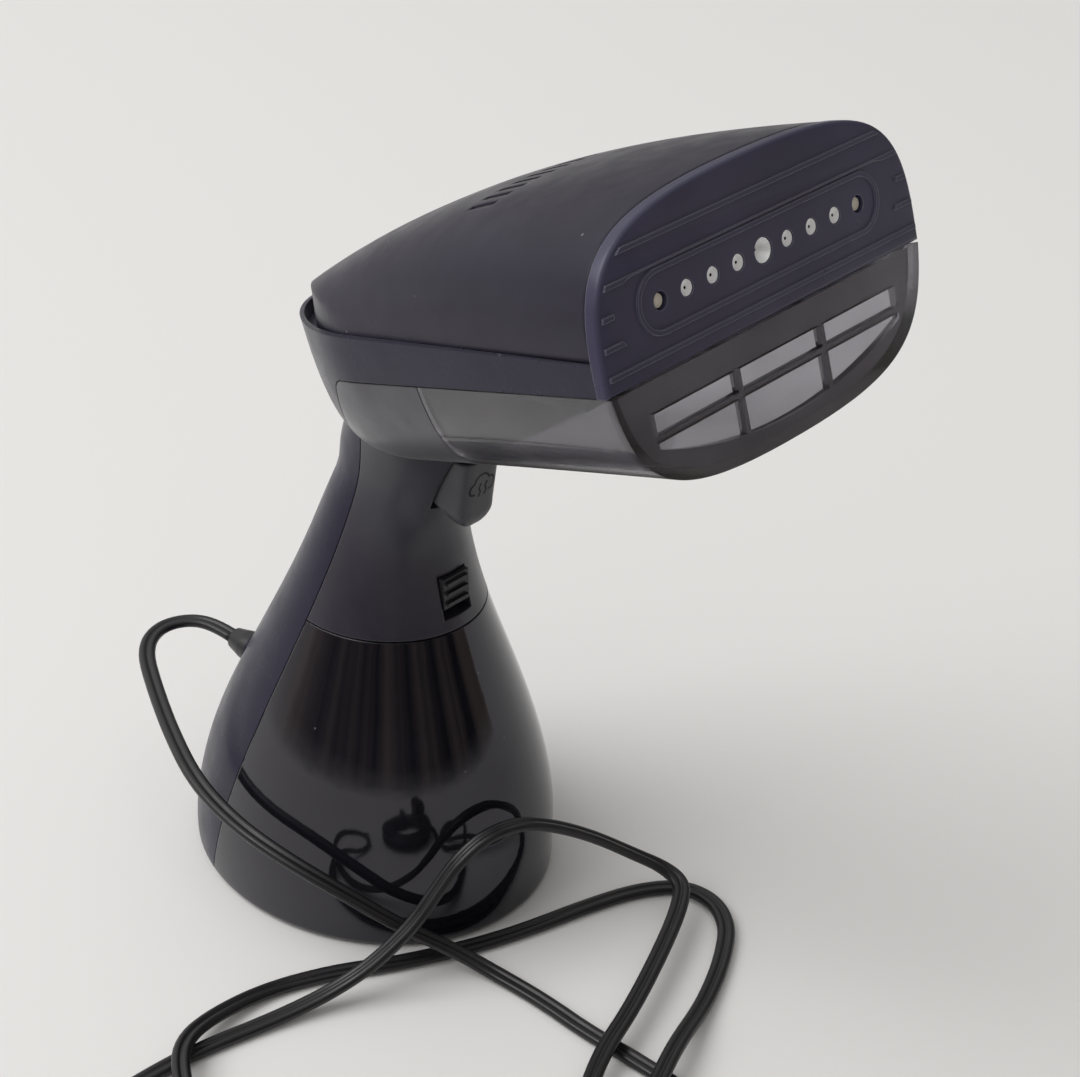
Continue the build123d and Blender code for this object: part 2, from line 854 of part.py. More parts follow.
# Lid of the chamber
lid_bottom = chamber_top + gasket_thickness
lid_top = lid_bottom + lid_thickness
with BuildPart() as chamber_lid:
    with BuildSketch(plan_plane.offset(lid_bottom)):
        with Locations((0, chamber_middle)):
            Rectangle(chamber_width, chamber_length)
            with GridLocations(screw_span_u, screw_span_r, 2, 2):
                Circle(screw_radius + snug_gap, mode=Mode.SUBTRACT)
    extrude(amount=lid_thickness)
chamber_lid.part.label = "chamber_lid"
export_step(chamber_lid.part, "parts/chamber_lid.step")

# Four screws through lid and gasket into the chamber's corners
with BuildPart() as lid_screws:
    with BuildSketch(plan_plane.offset(lid_top)):
        with Locations((0, chamber_middle)):
            with GridLocations(screw_span_u, screw_span_r, 2, 2):
                Circle(screw_head_radius)
    extrude(amount=screw_head_height)
    with BuildSketch(plan_plane.offset(lid_top)):
        with Locations((0, chamber_middle)):
            with GridLocations(screw_span_u, screw_span_r, 2, 2):
                Circle(screw_radius)
    extrude(amount=-(lid_thickness + gasket_thickness + screw_depth))
lid_screws.part.label = "lid_screws"
export_step(lid_screws.part, "parts/lid_screws.step")

# Thermostat on the lid
with BuildPart() as thermostat:
    with BuildSketch(plan_plane.offset(lid_top)):
        with Locations((chamber_width / 4 - chamber_wall, chamber_middle)):
            Circle(thermostat_radius)
    extrude(amount=thermostat_height)
    with BuildSketch(plan_plane.offset(lid_top + thermostat_height)):
        with Locations((chamber_width / 4 - chamber_wall, chamber_middle)):
            with GridLocations(thermostat_radius, 1, 2, 1):
                Rectangle(thermostat_tab, thermostat_height)
    extrude(amount=thermostat_height / 2)
thermostat.part.label = "thermostat"
export_step(thermostat.part, "parts/thermostat.step")

# Thermal fuse lying on the lid, on its own flat foot
with BuildPart() as thermal_fuse:
    with BuildSketch(head_plane.offset(-chamber_middle - fuse_length / 2)):
        with Locations((-chamber_width / 4, lid_top + fuse_radius)):
            Circle(fuse_radius)
        with Locations((-chamber_width / 4, lid_top + fuse_radius / 4)):
            Rectangle(2 * fuse_radius, fuse_radius / 2)
    extrude(amount=fuse_length)
thermal_fuse.part.label = "thermal_fuse"
export_step(thermal_fuse.part, "parts/thermal_fuse.step")

# Steam manifold that spreads the steam along the row of holes
manifold_length = 2 * (len(hole_diameters) - 1) * hole_pitch + 2 * manifold_margin + hole_diameters[-1]
with BuildPart() as steam_manifold:
    with BuildSketch(head_plane.offset(-manifold_front)):
        SlotOverall(manifold_length, manifold_height)
    extrude(amount=-manifold_depth)
    with BuildSketch(head_plane.offset(-chamber_front)):
        SlotOverall(manifold_length - manifold_height + duct_height, duct_height)
    extrude(amount=duct_depth, mode=Mode.SUBTRACT)
    for across, radius in hole_places:
        with BuildSketch(head_plane.offset(-manifold_front)):
            with Locations((across, 0)):
                Circle(nozzle_bore)
        extrude(amount=-manifold_depth, mode=Mode.SUBTRACT)
steam_manifold.part.label = "steam_manifold"
export_step(steam_manifold.part, "parts/steam_manifold.step")

# Flat seal between the manifold and the plate
with BuildPart() as manifold_seal:
    with BuildSketch(head_plane.offset(-manifold_front)):
        SlotOverall(manifold_length, manifold_height)
        for across, radius in hole_places:
            with Locations((across, 0)):
                Circle(radius, mode=Mode.SUBTRACT)
    extrude(amount=seal_thickness)
manifold_seal.part.label = "manifold_seal"
export_step(manifold_seal.part, "parts/manifold_seal.step")

# Nine steam nozzles standing in the plate's holes
with BuildPart() as steam_nozzles:
    for across, radius in hole_places:
        with BuildSketch(head_plane.offset(-manifold_front)):
            with Locations((across, 0)):
                Circle(radius - snug_gap)
        extrude(amount=manifold_front - nozzle_tip_depth)
        with BuildSketch(head_plane.offset(-nozzle_tip_depth)):
            with Locations((across, 0)):
                Circle(radius - nozzle_flare)
        with BuildSketch(head_plane.offset(-nozzle_tip_depth - radius)):
            with Locations((across, 0)):
                Circle(nozzle_bore)
        loft(mode=Mode.SUBTRACT)
        with BuildSketch(head_plane.offset(-manifold_front)):
            with Locations((across, 0)):
                Circle(nozzle_bore)
        extrude(amount=manifold_front, mode=Mode.SUBTRACT)
steam_nozzles.part.label = "steam_nozzles"
export_step(steam_nozzles.part, "parts/steam_nozzles.step")

# Heat shield: a floor across the lower head on four posts under the chamber
with BuildPart() as heat_shield:
    add(bowl_form(panel_thickness + fit_gap, wall + fit_gap))
    with BuildSketch(plan_plane.offset(shield_level)):
        with Locations((0, chamber_front + shield_length / 2 - manifold_front)):
            Rectangle(far, shield_length)
    extrude(amount=shield_thickness, mode=Mode.INTERSECT)
    with BuildSketch(plan_plane.offset(shield_level + shield_thickness / 2)):
        with Locations((0, chamber_middle)):
            with GridLocations(2 * shield_post_place, chamber_length / 2, 2, 2):
                Circle(shield_post_radius)
    extrude(amount=chamber_bottom - shield_level - shield_thickness / 2)
heat_shield.part.label = "heat_shield"
export_step(heat_shield.part, "parts/heat_shield.step")

# Pump in the handle, with a nipple at each end
pump_top = pump_bottom + pump_height
with BuildPart() as water_pump:
    with BuildSketch(Plane.XY.offset(pump_bottom)):
        with Locations((0, pump_place)):
            Circle(pump_radius)
    extrude(amount=pump_height)
    with BuildSketch(Plane.XY.offset(pump_top)):
        with Locations((0, pump_place)):
            Circle(nipple_radius)
    extrude(amount=nipple_height)
water_pump.part.label = "water_pump"
export_step(water_pump.part, "parts/water_pump.step")

# Bracket that holds the pump across the handle
with BuildPart() as pump_bracket:
    add(handle_form(floor_thickness, wall + fit_gap))
    with BuildSketch(Plane.XY.offset(bracket_height)):
        Rectangle(far, far)
        with Locations((0, pump_place)):
            Circle(pump_radius + snug_gap, mode=Mode.SUBTRACT)
        with Locations((0, block_back - far / 2 + 2 * flange_thickness + 2 * fit_gap)):
            Rectangle(far, far, mode=Mode.SUBTRACT)
    extrude(amount=bracket_thickness, mode=Mode.INTERSECT)
pump_bracket.part.label = "pump_bracket"
export_step(pump_bracket.part, "parts/pump_bracket.step")

# Grommet between the tank's valve and the pump
valve_top = tank_top + valve_rise
with BuildPart() as inlet_grommet:
    with BuildSketch(Plane.XY.offset(valve_top + tank_gap)):
        with Locations((0, pump_place)):
            Circle(grommet_radius)
            Circle(nipple_radius, mode=Mode.SUBTRACT)
    extrude(amount=pump_bottom - valve_top - tank_gap)
inlet_grommet.part.label = "inlet_grommet"
export_step(inlet_grommet.part, "parts/inlet_grommet.step")

# Hose from the pump up through the neck to the back of the chamber
hose_start = (pump_place, pump_top + fit_gap)
hose_end = side_point(chamber_level, chamber_back)
hose_before = side_point(chamber_level, chamber_back + hose_bend)
with BuildPart() as outlet_hose:
    with BuildLine(Plane.YZ) as hose_line:
        FilletPolyline(hose_start, *hose_route, hose_before, hose_end, radius=hose_bend)
    with BuildSketch(Plane(hose_line.line ^ 0)):
        Circle(hose_radius)
    sweep()
    with BuildSketch(Plane.XY.offset(pump_top)):
        with Locations((0, pump_place)):
            Circle(nipple_radius + snug_gap)
    extrude(amount=nipple_height + fit_gap, mode=Mode.SUBTRACT)
outlet_hose.part.label = "outlet_hose"
export_step(outlet_hose.part, "parts/outlet_hose.step")

# Shelf across the handle under the trigger, with room for the hose
shelf_top = trigger_outline[4][1] + button_rise - switch_height / 2
shelf_height = shelf_top - shelf_thickness
with BuildPart() as switch_shelf:
    add(handle_form(floor_thickness, wall + fit_gap))
    with BuildSketch(Plane.XY.offset(shelf_height)):
        Rectangle(far, far)
        with Locations((0, pump_place + far / 2 - hose_radius - 2 * fit_gap)):
            Rectangle(2 * hose_radius + 4 * fit_gap, far, mode=Mode.SUBTRACT)
    extrude(amount=shelf_thickness, mode=Mode.INTERSECT)
switch_shelf.part.label = "switch_shelf"
export_step(switch_shelf.part, "parts/switch_shelf.step")

# Micro switch behind the trigger, standing on the shelf
with BuildPart() as micro_switch:
    with Locations((0, switch_front + switch_depth / 2, shelf_top)):
        Box(switch_width, switch_depth, switch_height, align=(Align.CENTER, Align.CENTER, Align.MIN))
    with Locations((0, switch_front, shelf_top + switch_height / 2)):
        Box(*switch_button)
micro_switch.part.label = "micro_switch"
export_step(micro_switch.part, "parts/micro_switch.step")

# Trigger, turning on a pin between two ears of the front cover
with BuildPart() as trigger:
    add(trigger_form(trigger_half_width, 0.0, 0.0))
    with BuildSketch(Plane.YZ):
        with Locations(pin_place):
            Circle(pin_radius + pin_clearance)
    extrude(amount=far / 4, both=True, mode=Mode.SUBTRACT)
trigger.part.label = "trigger"
export_step(trigger.part, "parts/trigger.step")

# Pin of the trigger, pressed into the ears
with BuildPart() as trigger_pin:
    with BuildSketch(Plane.YZ):
        with Locations(pin_place):
            Circle(pin_radius)
    extrude(amount=ear_inner + ear_thickness, both=True)
trigger_pin.part.label = "trigger_pin"
export_step(trigger_pin.part, "parts/trigger_pin.step")

# Leaf spring from the shelf to the back of the trigger
back_low, back_high = trigger_outline[4], trigger_outline[5]
back_slope = (back_high[0] - back_low[0]) / (back_high[1] - back_low[1])
spring_tip = back_low[0] + back_slope * (spring_top - back_low[1]) + fit_gap
spring_foot = spring_tip + spring_lean
with BuildPart() as trigger_spring:
    with BuildSketch(Plane.YZ):
        with BuildLine():
            Polyline(
                (spring_foot, shelf_top),
                (spring_foot + spring_strip, shelf_top),
                (spring_tip + spring_strip, spring_top),
                (spring_tip, spring_top),
                close=True,
            )
        make_face()
    extrude(amount=spring_half_width, both=True)
trigger_spring.part.label = "trigger_spring"
export_step(trigger_spring.part, "parts/trigger_spring.step")

# Tank latch: a ridged slider in the pocket, with a stem through the pocket floor to a flange behind it
with BuildPart() as tank_latch:
    with Locations((0, (latch_face + latch_back) / 2, stem_middle)):
        Box(latch_width, latch_depth, latch_height)
    with Locations((0, latch_face, stem_middle)):
        with GridLocations(1, 1, 1, 1):
            for row in range(latch_ridge_count):
                lift = (row - (latch_ridge_count - 1) / 2) * latch_height / latch_ridge_count
                with Locations((0, 0, lift)):
                    Box(latch_width - 2 * latch_ridge, 2 * latch_ridge, latch_ridge)
    with Locations((0, (latch_back + flange_front) / 2, stem_middle)):
        Box(2 * stem_half_width, flange_front - latch_back, stem_height)
    with Locations((0, flange_front + flange_thickness / 2, stem_middle)):
        Box(2 * flange_half_width, flange_thickness, stem_height)
tank_latch.part.label = "tank_latch"
export_step(tank_latch.part, "parts/tank_latch.step")

# Zigzag spring between the latch's flange and the cover's floor
latch_spring_bottom = cover_floor_under + cover_floor
latch_spring_top = stem_middle - stem_height / 2
latch_spring_middle = flange_front + flange_thickness / 2
spring_folds = 4
latch_spring_rise = (latch_spring_top - latch_spring_bottom - 2 * spring_strip) / spring_folds
latch_spring_corners = []
for fold in range(spring_folds + 1):
    reach = flange_half_width / 2 if fold % 2 else -flange_half_width / 2
    latch_spring_corners.append((reach, latch_spring_bottom + spring_strip + fold * latch_spring_rise))
with BuildPart() as latch_spring:
    with BuildSketch(Plane.XZ.offset(-latch_spring_middle - flange_thickness / 2)):
        with BuildLine():
            Polyline(*latch_spring_corners)
        trace(line_width=spring_strip)
        for end in (latch_spring_bottom + spring_strip / 2, latch_spring_top - spring_strip / 2):
            with Locations((0, end)):
                Rectangle(flange_half_width + spring_strip, spring_strip)
    extrude(amount=flange_thickness)
latch_spring.part.label = "latch_spring"
export_step(latch_spring.part, "parts/latch_spring.step")

# Water tank: the front of the base below the cover, hollow, with holes for its valve and stopper
with BuildPart() as tank_inside:
    add(handle_form(floor_thickness, tank_wall))
    add(below(tank_top - tank_wall), mode=Mode.INTERSECT)
    add(seam_prism(-tank_wall), mode=Mode.INTERSECT)

with BuildPart() as water_tank:
    add(front_hull.part)
    add(below(tank_top), mode=Mode.INTERSECT)
    add(tank_inside.part, mode=Mode.SUBTRACT)
    with BuildSketch(Plane.XY.offset(tank_top)):
        with Locations((0, pump_place)):
            Circle(valve_radius)
        with Locations((0, stopper_place)):
            Circle(stopper_radius)
    extrude(amount=-2 * tank_wall, mode=Mode.SUBTRACT)
water_tank.part.label = "water_tank"
export_step(water_tank.part, "parts/water_tank.step")

# Filler stopper in the tank's top
with BuildPart() as filler_stopper:
    with BuildSketch(Plane.XY.offset(tank_top)):
        with Locations((0, stopper_place)):
            Circle(stopper_radius)
    extrude(amount=-stopper_depth)
    with BuildSketch(Plane.XY.offset(tank_top)):
        with Locations((0, stopper_place)):
            Circle(stopper_radius + stopper_head)
    extrude(amount=stopper_head_height)
filler_stopper.part.label = "filler_stopper"
export_step(filler_stopper.part, "parts/filler_stopper.step")

# Valve body in the tank's top
valve_axis = Axis((0, pump_place, 0), (0, 0, 1))
valve_plane = Plane(origin=(0, pump_place, 0), x_dir=(1, 0, 0), z_dir=(0, -1, 0))
spring_room_bottom = valve_bottom + valve_web
spring_room_top = valve_top - valve_shoulder
guide_radius = stem_radius + stem_gap
with BuildPart() as tank_valve:
    with BuildSketch(valve_plane):
        with BuildLine():
            Polyline(
                (guide_radius, valve_bottom),
                (valve_radius, valve_bottom),
                (valve_radius, valve_top),
                (guide_radius, valve_top),
                (guide_radius, spring_room_top),
                (valve_bore, spring_room_top),
                (valve_bore, spring_room_bottom),
                (guide_radius, spring_room_bottom),
                close=True,
            )
        make_face()
    revolve(axis=valve_axis)
tank_valve.part.label = "tank_valve"
export_step(tank_valve.part, "parts/tank_valve.step")

# Valve poppet: a stem with a collar under the valve's shoulder
collar_top = spring_room_top - stem_gap
collar_bottom = collar_top - collar_thickness
poppet_bottom = valve_bottom - valve_web
with BuildPart() as valve_poppet:
    with BuildSketch(valve_plane):
        with BuildLine():
            Polyline(
                (0, poppet_bottom),
                (stem_radius, poppet_bottom),
                (stem_radius, collar_bottom),
                (valve_bore - stem_gap, collar_bottom),
                (valve_bore - stem_gap, collar_top),
                (stem_radius, collar_top),
                (stem_radius, valve_top),
                (0, valve_top),
                close=True,
            )
        make_face()
    revolve(axis=valve_axis)
valve_poppet.part.label = "valve_poppet"
export_step(valve_poppet.part, "parts/valve_poppet.step")

# Stack of disc springs under the poppet's collar
disc_inner = stem_radius + stem_gap
disc_outer = valve_bore - stem_gap
disc_rise = (collar_bottom - spring_room_bottom - 2 * disc_spring_strip) / spring_folds
disc_points = []
for fold in range(spring_folds + 1):
    reach = disc_outer - disc_spring_strip if fold % 2 else disc_inner + disc_spring_strip
    disc_points.append((reach, spring_room_bottom + disc_spring_strip + fold * disc_rise))
with BuildPart() as valve_spring:
    with BuildSketch(valve_plane):
        with BuildLine():
            Polyline(*disc_points)
        trace(line_width=disc_spring_strip)
        for end in (spring_room_bottom + disc_spring_strip / 2, collar_bottom - disc_spring_strip / 2):
            with Locations(((disc_inner + disc_outer) / 2, end)):
                Rectangle(disc_outer - disc_inner, disc_spring_strip)
    revolve(axis=valve_axis)
valve_spring.part.label = "valve_spring"
export_step(valve_spring.part, "parts/valve_spring.step")

# Seal ring around the valve on the tank's top
with BuildPart() as tank_seal:
    with BuildSketch(Plane.XY.offset(tank_top)):
        with Locations((0, pump_place)):
            Circle(valve_radius + tank_seal_width)
            Circle(valve_radius, mode=Mode.SUBTRACT)
    extrude(amount=tank_seal_height)
tank_seal.part.label = "tank_seal"
export_step(tank_seal.part, "parts/tank_seal.step")

# Circuit board standing in the rails of the rear housing, with its terminal block
with BuildPart() as circuit_board:
    with Locations((0, board_place + board_thickness / 2, floor_thickness)):
        Box(
            2 * board_half_width,
            board_thickness,
            board_height,
            align=(Align.CENTER, Align.CENTER, Align.MIN),
        )
circuit_board.part.label = "circuit_board"
export_step(circuit_board.part, "parts/circuit_board.step")

with BuildPart() as terminal_block:
    with Locations((0, board_place + board_thickness, terminal_level)):
        Box(
            2 * terminal_half_width,
            terminal_depth,
            terminal_height,
            align=(Align.CENTER, Align.MIN, Align.MIN),
        )
terminal_block.part.label = "terminal_block"
export_step(terminal_block.part, "parts/terminal_block.step")

# Strain relief where the lead leaves the rear housing
relief_axis = Axis((0, 0, exit_height), (0, 1, 0))
relief_plane = Plane(origin=(0, 0, exit_height), x_dir=(0, 1, 0), z_dir=(1, 0, 0))
flange_end = relief_flange_start + relief_flange
collar_start = entry_boss_reach + fit_gap
collar_end = collar_start + relief_collar
relief_end = exit_reach - fit_gap
with BuildPart() as cord_strain_relief:
    with BuildSketch(relief_plane):
        with BuildLine():
            Polyline(
                (relief_flange_start, 0),
                (relief_flange_start, relief_flange_radius),
                (flange_end - fit_gap, relief_flange_radius),
                (flange_end - fit_gap, entry_radius),
                (collar_start, entry_radius),
                (collar_start, relief_collar_radius),
                (collar_end, relief_collar_radius),
                (relief_end, relief_tip_radius),
                (relief_end, 0),
                close=True,
            )
        make_face()
    revolve(axis=relief_axis)
cord_strain_relief.part.label = "cord_strain_relief"
export_step(cord_strain_relief.part, "parts/cord_strain_relief.step")

# Clamp block against the relief's flange
with BuildPart() as cord_clamp:
    with Locations((0, relief_flange_start - clamp_thickness / 2, exit_height)):
        Box(2 * clamp_half_width, clamp_thickness, 2 * clamp_half_height)
cord_clamp.part.label = "cord_clamp"
export_step(cord_clamp.part, "parts/cord_clamp.step")

# Lead: hand-chosen points along its route, first down the side of the base, then two open bends on the floor,
# then up in a standing bow in front of the tank and out to the coil
coil_floor = tie_thickness + cord_radius
coil_inner_radius = coil_outer_radius - coil_pitch * coil_layer_turns
cord_low = cord_radius
cord_over = 3 * cord_radius + 1.0
start_turn = radians(coil_start_angle)
lead_direction = Vector(sin(start_turn), -cos(start_turn), 0)
coil_middle = Vector(coil_centre[0], coil_centre[1], coil_floor)
coil_first = coil_middle + Vector(cos(start_turn), sin(start_turn), 0) * coil_outer_radius
lead_end = coil_first - lead_direction * (2 * cord_radius)
lead_before = lead_end - lead_direction * lead_in
cord_points = [
    (0, exit_reach, exit_height),
    (0, 69.5, 45.8),
    (-4, 78, 46.4),
    (-13.5, 82, 46.3),
    (-23.5, 77, 45.2),
    (-32.5, 61, 43),
    (-42.5, 40.5, 40.5),
    (-51, 19, 38),
    (-54.5, -3, 36),
    (-53, -22, 33),
    (-46.5, -38.5, 26),
    (-37, -51.5, 15),
    (-27.5, -62.5, 8),
    (-22.5, -75, 2.8),
    (-21.6, -92, cord_low),
    (-22.4, -110, cord_low),
    (-21.4, -130, cord_low),
    (-22, -152, cord_low),
    (-21, -178, cord_low),
    (-37, -193, cord_low),
    (-58.3, -190, cord_low),
    (-68.8, -172, cord_low),
    (-61.6, -152.5, cord_low),
    (-43, -145, 4.5),
    (-26, -139, cord_over),
    (-13, -134, cord_over),
    (5, -127.5, 3.5),
    (18, -122, cord_low),
    (30, -116.5, cord_low),
    (40.5, -110, cord_low),
    (47, -100, cord_low),
    (45.5, -88.5, cord_low),
    (33.5, -80, cord_low),
    (17, -74, cord_low),
    (-1, -68.5, cord_low),
    (-14, -63.5, cord_low),
    (-27, -57, cord_low),
    (-40, -49.5, cord_low),
    (-53, -40, cord_low),
    (-70.5, -31.5, cord_low),
    (-88, -30, 4.5),
    (-103, -34, cord_over),
    (-112, -44, cord_over),
    (-118, -58, 4.5),
    (-128, -74, cord_low),
    (-146, -83, cord_low),
    (-165, -76, cord_low),
    (-172, -57, cord_low),
    (-162, -40.5, cord_low),
    (-139, -33, cord_low),
    (-114, -33.6, cord_low),
    (-97, -36.5, cord_low),
    (-80, -41.5, cord_low),
    (-65, -47, 4.5),
    (-54, -51.8, 8.5),
    (-46, -55, 13.5),
    (-37, -58, 20.5),
    (-30, -59.5, 28),
    (-23, -61.5, 36),
    (-14, -64, 41),
    (-3, -67.5, 41),
    (8, -71, 35),
    (19, -75.5, 27),
    (29, -81, 18),
    (36.5, -86.5, 11.5),
    (37, -93.5, 9),
    (30, -98.5, cord_over),
    (14, -106, cord_over),
    (-11, -116, cord_over),
    (-30, -121.6, cord_over),
    (-44, -128, 3.5),
    (-57, -136.5, cord_low),
    (-69, -150, cord_low),
    tuple(lead_before),
    tuple(lead_end),
]


def bend_radii(points):
    """Largest even radius at each corner: nearly half the shorter run over the tangent of half the turn."""
    radii = []
    for before, here, after in zip(points, points[1:], points[2:]):
        run_in, run_out = Vector(here) - Vector(before), Vector(after) - Vector(here)
        turn = radians(run_in.get_angle(run_out))
        radii.append(0.45 * min(run_in.length, run_out.length) / tan(turn / 2))
    return radii


cord_radii = bend_radii(cord_points)
with BuildPart() as power_cord:
    with BuildLine() as cord_line:
        FilletPolyline(*cord_points, radius=cord_radii)
    with BuildSketch(Plane(origin=cord_points[0], z_dir=Vector(cord_points[1]) - Vector(cord_points[0]))):
        Circle(cord_radius)
    sweep()
power_cord.part.label = "power_cord"
export_step(power_cord.part, "parts/power_cord.step")
cord_length = sum(edge.length for edge in cord_line.edges())
tube_share = power_cord.part.volume / (pi * cord_radius ** 2 * cord_length)
print("cord least radius", round(min(cord_radii), 1), "radii", [round(radius, 1) for radius in cord_radii])
print("cord length", round(cord_length), "volume over section times length", round(tube_share, 3))

# Coil of spare lead: in on the lower layer, a climb over half a turn, out on the upper layer
quarter = 0.25
coil_turns = 2 * coil_layer_turns + coil_climb_turns


def coil_point(turns):
    """Point of the coil's middle line after so many turns, wound clockwise from its outer start."""
    angle = start_turn - 2 * pi * turns
    inward = coil_layer_turns - max(0.0, coil_layer_turns - turns)
    outward = max(0.0, turns - coil_layer_turns - coil_climb_turns)
    reach = coil_outer_radius - coil_pitch * (inward - outward)
    lift = (1 - cos(pi * clamp((turns - coil_layer_turns) / coil_climb_turns))) / 2
    return coil_middle + Vector(reach * cos(angle), reach * sin(angle), coil_layer_pitch * lift)


coil_stations = [quarter * step for step in range(round(coil_turns / quarter) + 1)]
coil_nodes = [coil_point(turns) for turns in coil_stations]
end_turn = start_turn - 2 * pi * coil_turns
tail_direction = Vector(sin(end_turn), -cos(end_turn), 0)
coil_headings = [lead_direction]
for turns in coil_stations[1:-1]:
    coil_headings.append((coil_point(turns + 0.001) - coil_point(turns - 0.001)).normalized())
coil_headings.append(tail_direction)
tail_end = coil_nodes[-1] + tail_direction * coil_tail

with BuildPart() as cord_coil:
    with BuildLine() as coil_line:
        Line(lead_end, coil_nodes[0])
        for first, last, t0, t1 in zip(coil_nodes, coil_nodes[1:], coil_headings, coil_headings[1:]):
            chord = last - first
            bend = 2 * (t0.dot(t1) - 1)
            pull = -2 * chord.dot(t0 + t1)
            reach = (-pull - sqrt(pull * pull - 4 * bend * chord.dot(chord))) / (2 * bend)
            if reach < 0:
                reach = (-pull + sqrt(pull * pull - 4 * bend * chord.dot(chord))) / (2 * bend)
            corner_in = first + t0 * reach
            corner_out = last - t1 * reach
            middle = (corner_in + corner_out) / 2
            TangentArc(first, middle, tangent=t0)
            TangentArc(middle, last, tangent=corner_out - corner_in)
        Line(coil_nodes[-1], tail_end)
    with BuildSketch(Plane(origin=lead_end, z_dir=lead_direction)):
        Circle(cord_radius)
    sweep()
cord_coil.part.label = "cord_coil"
export_step(cord_coil.part, "parts/cord_coil.step")
samples = [coil_point(step / 60) for step in range(round(coil_turns * 60) + 1)]
least_gap = far
for first in range(len(samples)):
    for later in range(first + 30, len(samples)):
        least_gap = min(least_gap, (samples[first] - samples[later]).length - 2 * cord_radius)
coil_length = sum(edge.length for edge in coil_line.edges())
coil_share = cord_coil.part.volume / (pi * cord_radius ** 2 * coil_length)
print("coil least gap to itself", round(least_gap, 2), "length", round(coil_length))
print("coil volume over section times length", round(coil_share, 3))

# Tie around the coil
tie_angle = start_turn - pi / 2
tie_radial = Vector(cos(tie_angle), sin(tie_angle), 0)
tie_plane = Plane(
    origin=coil_middle + Vector(0, 0, -coil_floor), x_dir=tie_radial, z_dir=tie_radial.cross(Vector(0, 0, 1))
)
tie_low, tie_high = coil_inner_radius - cord_radius - tie_slack, coil_outer_radius + cord_radius + tie_slack
tie_top = coil_floor + coil_layer_pitch + cord_radius + tie_slack
with BuildPart() as cord_tie:
    with BuildSketch(tie_plane):
        with Locations(((tie_low + tie_high) / 2, (tie_top + tie_thickness) / 2)):
            Rectangle(tie_high - tie_low + 2 * tie_thickness, tie_top + tie_thickness)
        with Locations(((tie_low + tie_high) / 2, (tie_top + tie_thickness) / 2)):
            Rectangle(tie_high - tie_low, tie_top - tie_thickness, mode=Mode.SUBTRACT)
    extrude(amount=tie_width / 2, both=True)
cord_tie.part.label = "cord_tie"
export_step(cord_tie.part, "parts/cord_tie.step")

# Plug on the floor at the lead's end, with two flat blades
plug_across = Vector(0, 0, 1).cross(tail_direction) * -1
plug_plane = Plane(origin=tail_end, x_dir=plug_across, z_dir=tail_direction)
plug_middle = tail_end.Z
with BuildPart() as plug_body:
    with BuildSketch(plug_plane):
        Circle(plug_neck_radius)
    extrude(amount=plug_neck)
    with BuildSketch(plug_plane.offset(plug_neck)):
        RectangleRounded(plug_width, 2 * plug_middle, plug_neck_radius)
    extrude(amount=plug_length)
plug_body.part.label = "plug_body"
export_step(plug_body.part, "parts/plug_body.step")

with BuildPart() as plug_blades:
    with BuildSketch(plug_plane.offset(plug_neck + plug_length)):
        with GridLocations(blade_spacing, 1, 2, 1):
            Rectangle(blade_thickness, blade_width)
    extrude(amount=blade_length)
plug_blades.part.label = "plug_blades"
export_step(plug_blades.part, "parts/plug_blades.step")
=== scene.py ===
import math

import bpy
import numpy as np
from mathutils import Matrix, Vector


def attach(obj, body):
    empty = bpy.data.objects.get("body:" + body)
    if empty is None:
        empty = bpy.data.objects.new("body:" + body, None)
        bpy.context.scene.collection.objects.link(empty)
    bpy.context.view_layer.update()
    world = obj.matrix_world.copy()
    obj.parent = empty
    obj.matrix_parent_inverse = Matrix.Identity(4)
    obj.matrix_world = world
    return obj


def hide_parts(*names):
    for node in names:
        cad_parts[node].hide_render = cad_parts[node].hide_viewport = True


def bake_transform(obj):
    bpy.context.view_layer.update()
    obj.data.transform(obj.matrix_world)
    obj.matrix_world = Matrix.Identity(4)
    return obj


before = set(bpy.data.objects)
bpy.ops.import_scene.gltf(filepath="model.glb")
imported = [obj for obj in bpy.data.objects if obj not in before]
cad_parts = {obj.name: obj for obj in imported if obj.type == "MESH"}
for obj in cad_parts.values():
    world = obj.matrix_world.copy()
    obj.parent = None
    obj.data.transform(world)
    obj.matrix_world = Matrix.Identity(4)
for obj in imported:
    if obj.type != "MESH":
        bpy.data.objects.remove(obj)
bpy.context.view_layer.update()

# Water tank: the hollow front half of the base, which stands on the floor and comes off the housing.
# It is moulded in near-black plastic from a polished mould, so its skin mirrors the room.
# Slight patches in its gloss show in those reflections, with a few pale specks of dust.
def dress(node, material):
    """Gives a frame node its material, and smooth shading that breaks at edges sharper than the crease."""
    crease = math.radians(28.0)
    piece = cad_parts[node]
    piece.data.materials.clear()
    piece.data.materials.append(material)
    for polygon in piece.data.polygons:
        polygon.use_smooth = True
    weld = piece.modifiers.new("weld", "WELD")
    weld.merge_threshold = 0.00001
    split = piece.modifiers.new("creases", "EDGE_SPLIT")
    split.split_angle = crease
    return piece


def noise_value(tree, place, scale, detail):
    """Value about one half that wanders over the given coordinates, in about so many waves to the metre."""
    node = tree.nodes.new("ShaderNodeTexNoise")
    node.inputs["Scale"].default_value = scale
    node.inputs["Detail"].default_value = detail
    tree.links.new(place, node.inputs["Vector"])
    return node.outputs["Fac"]


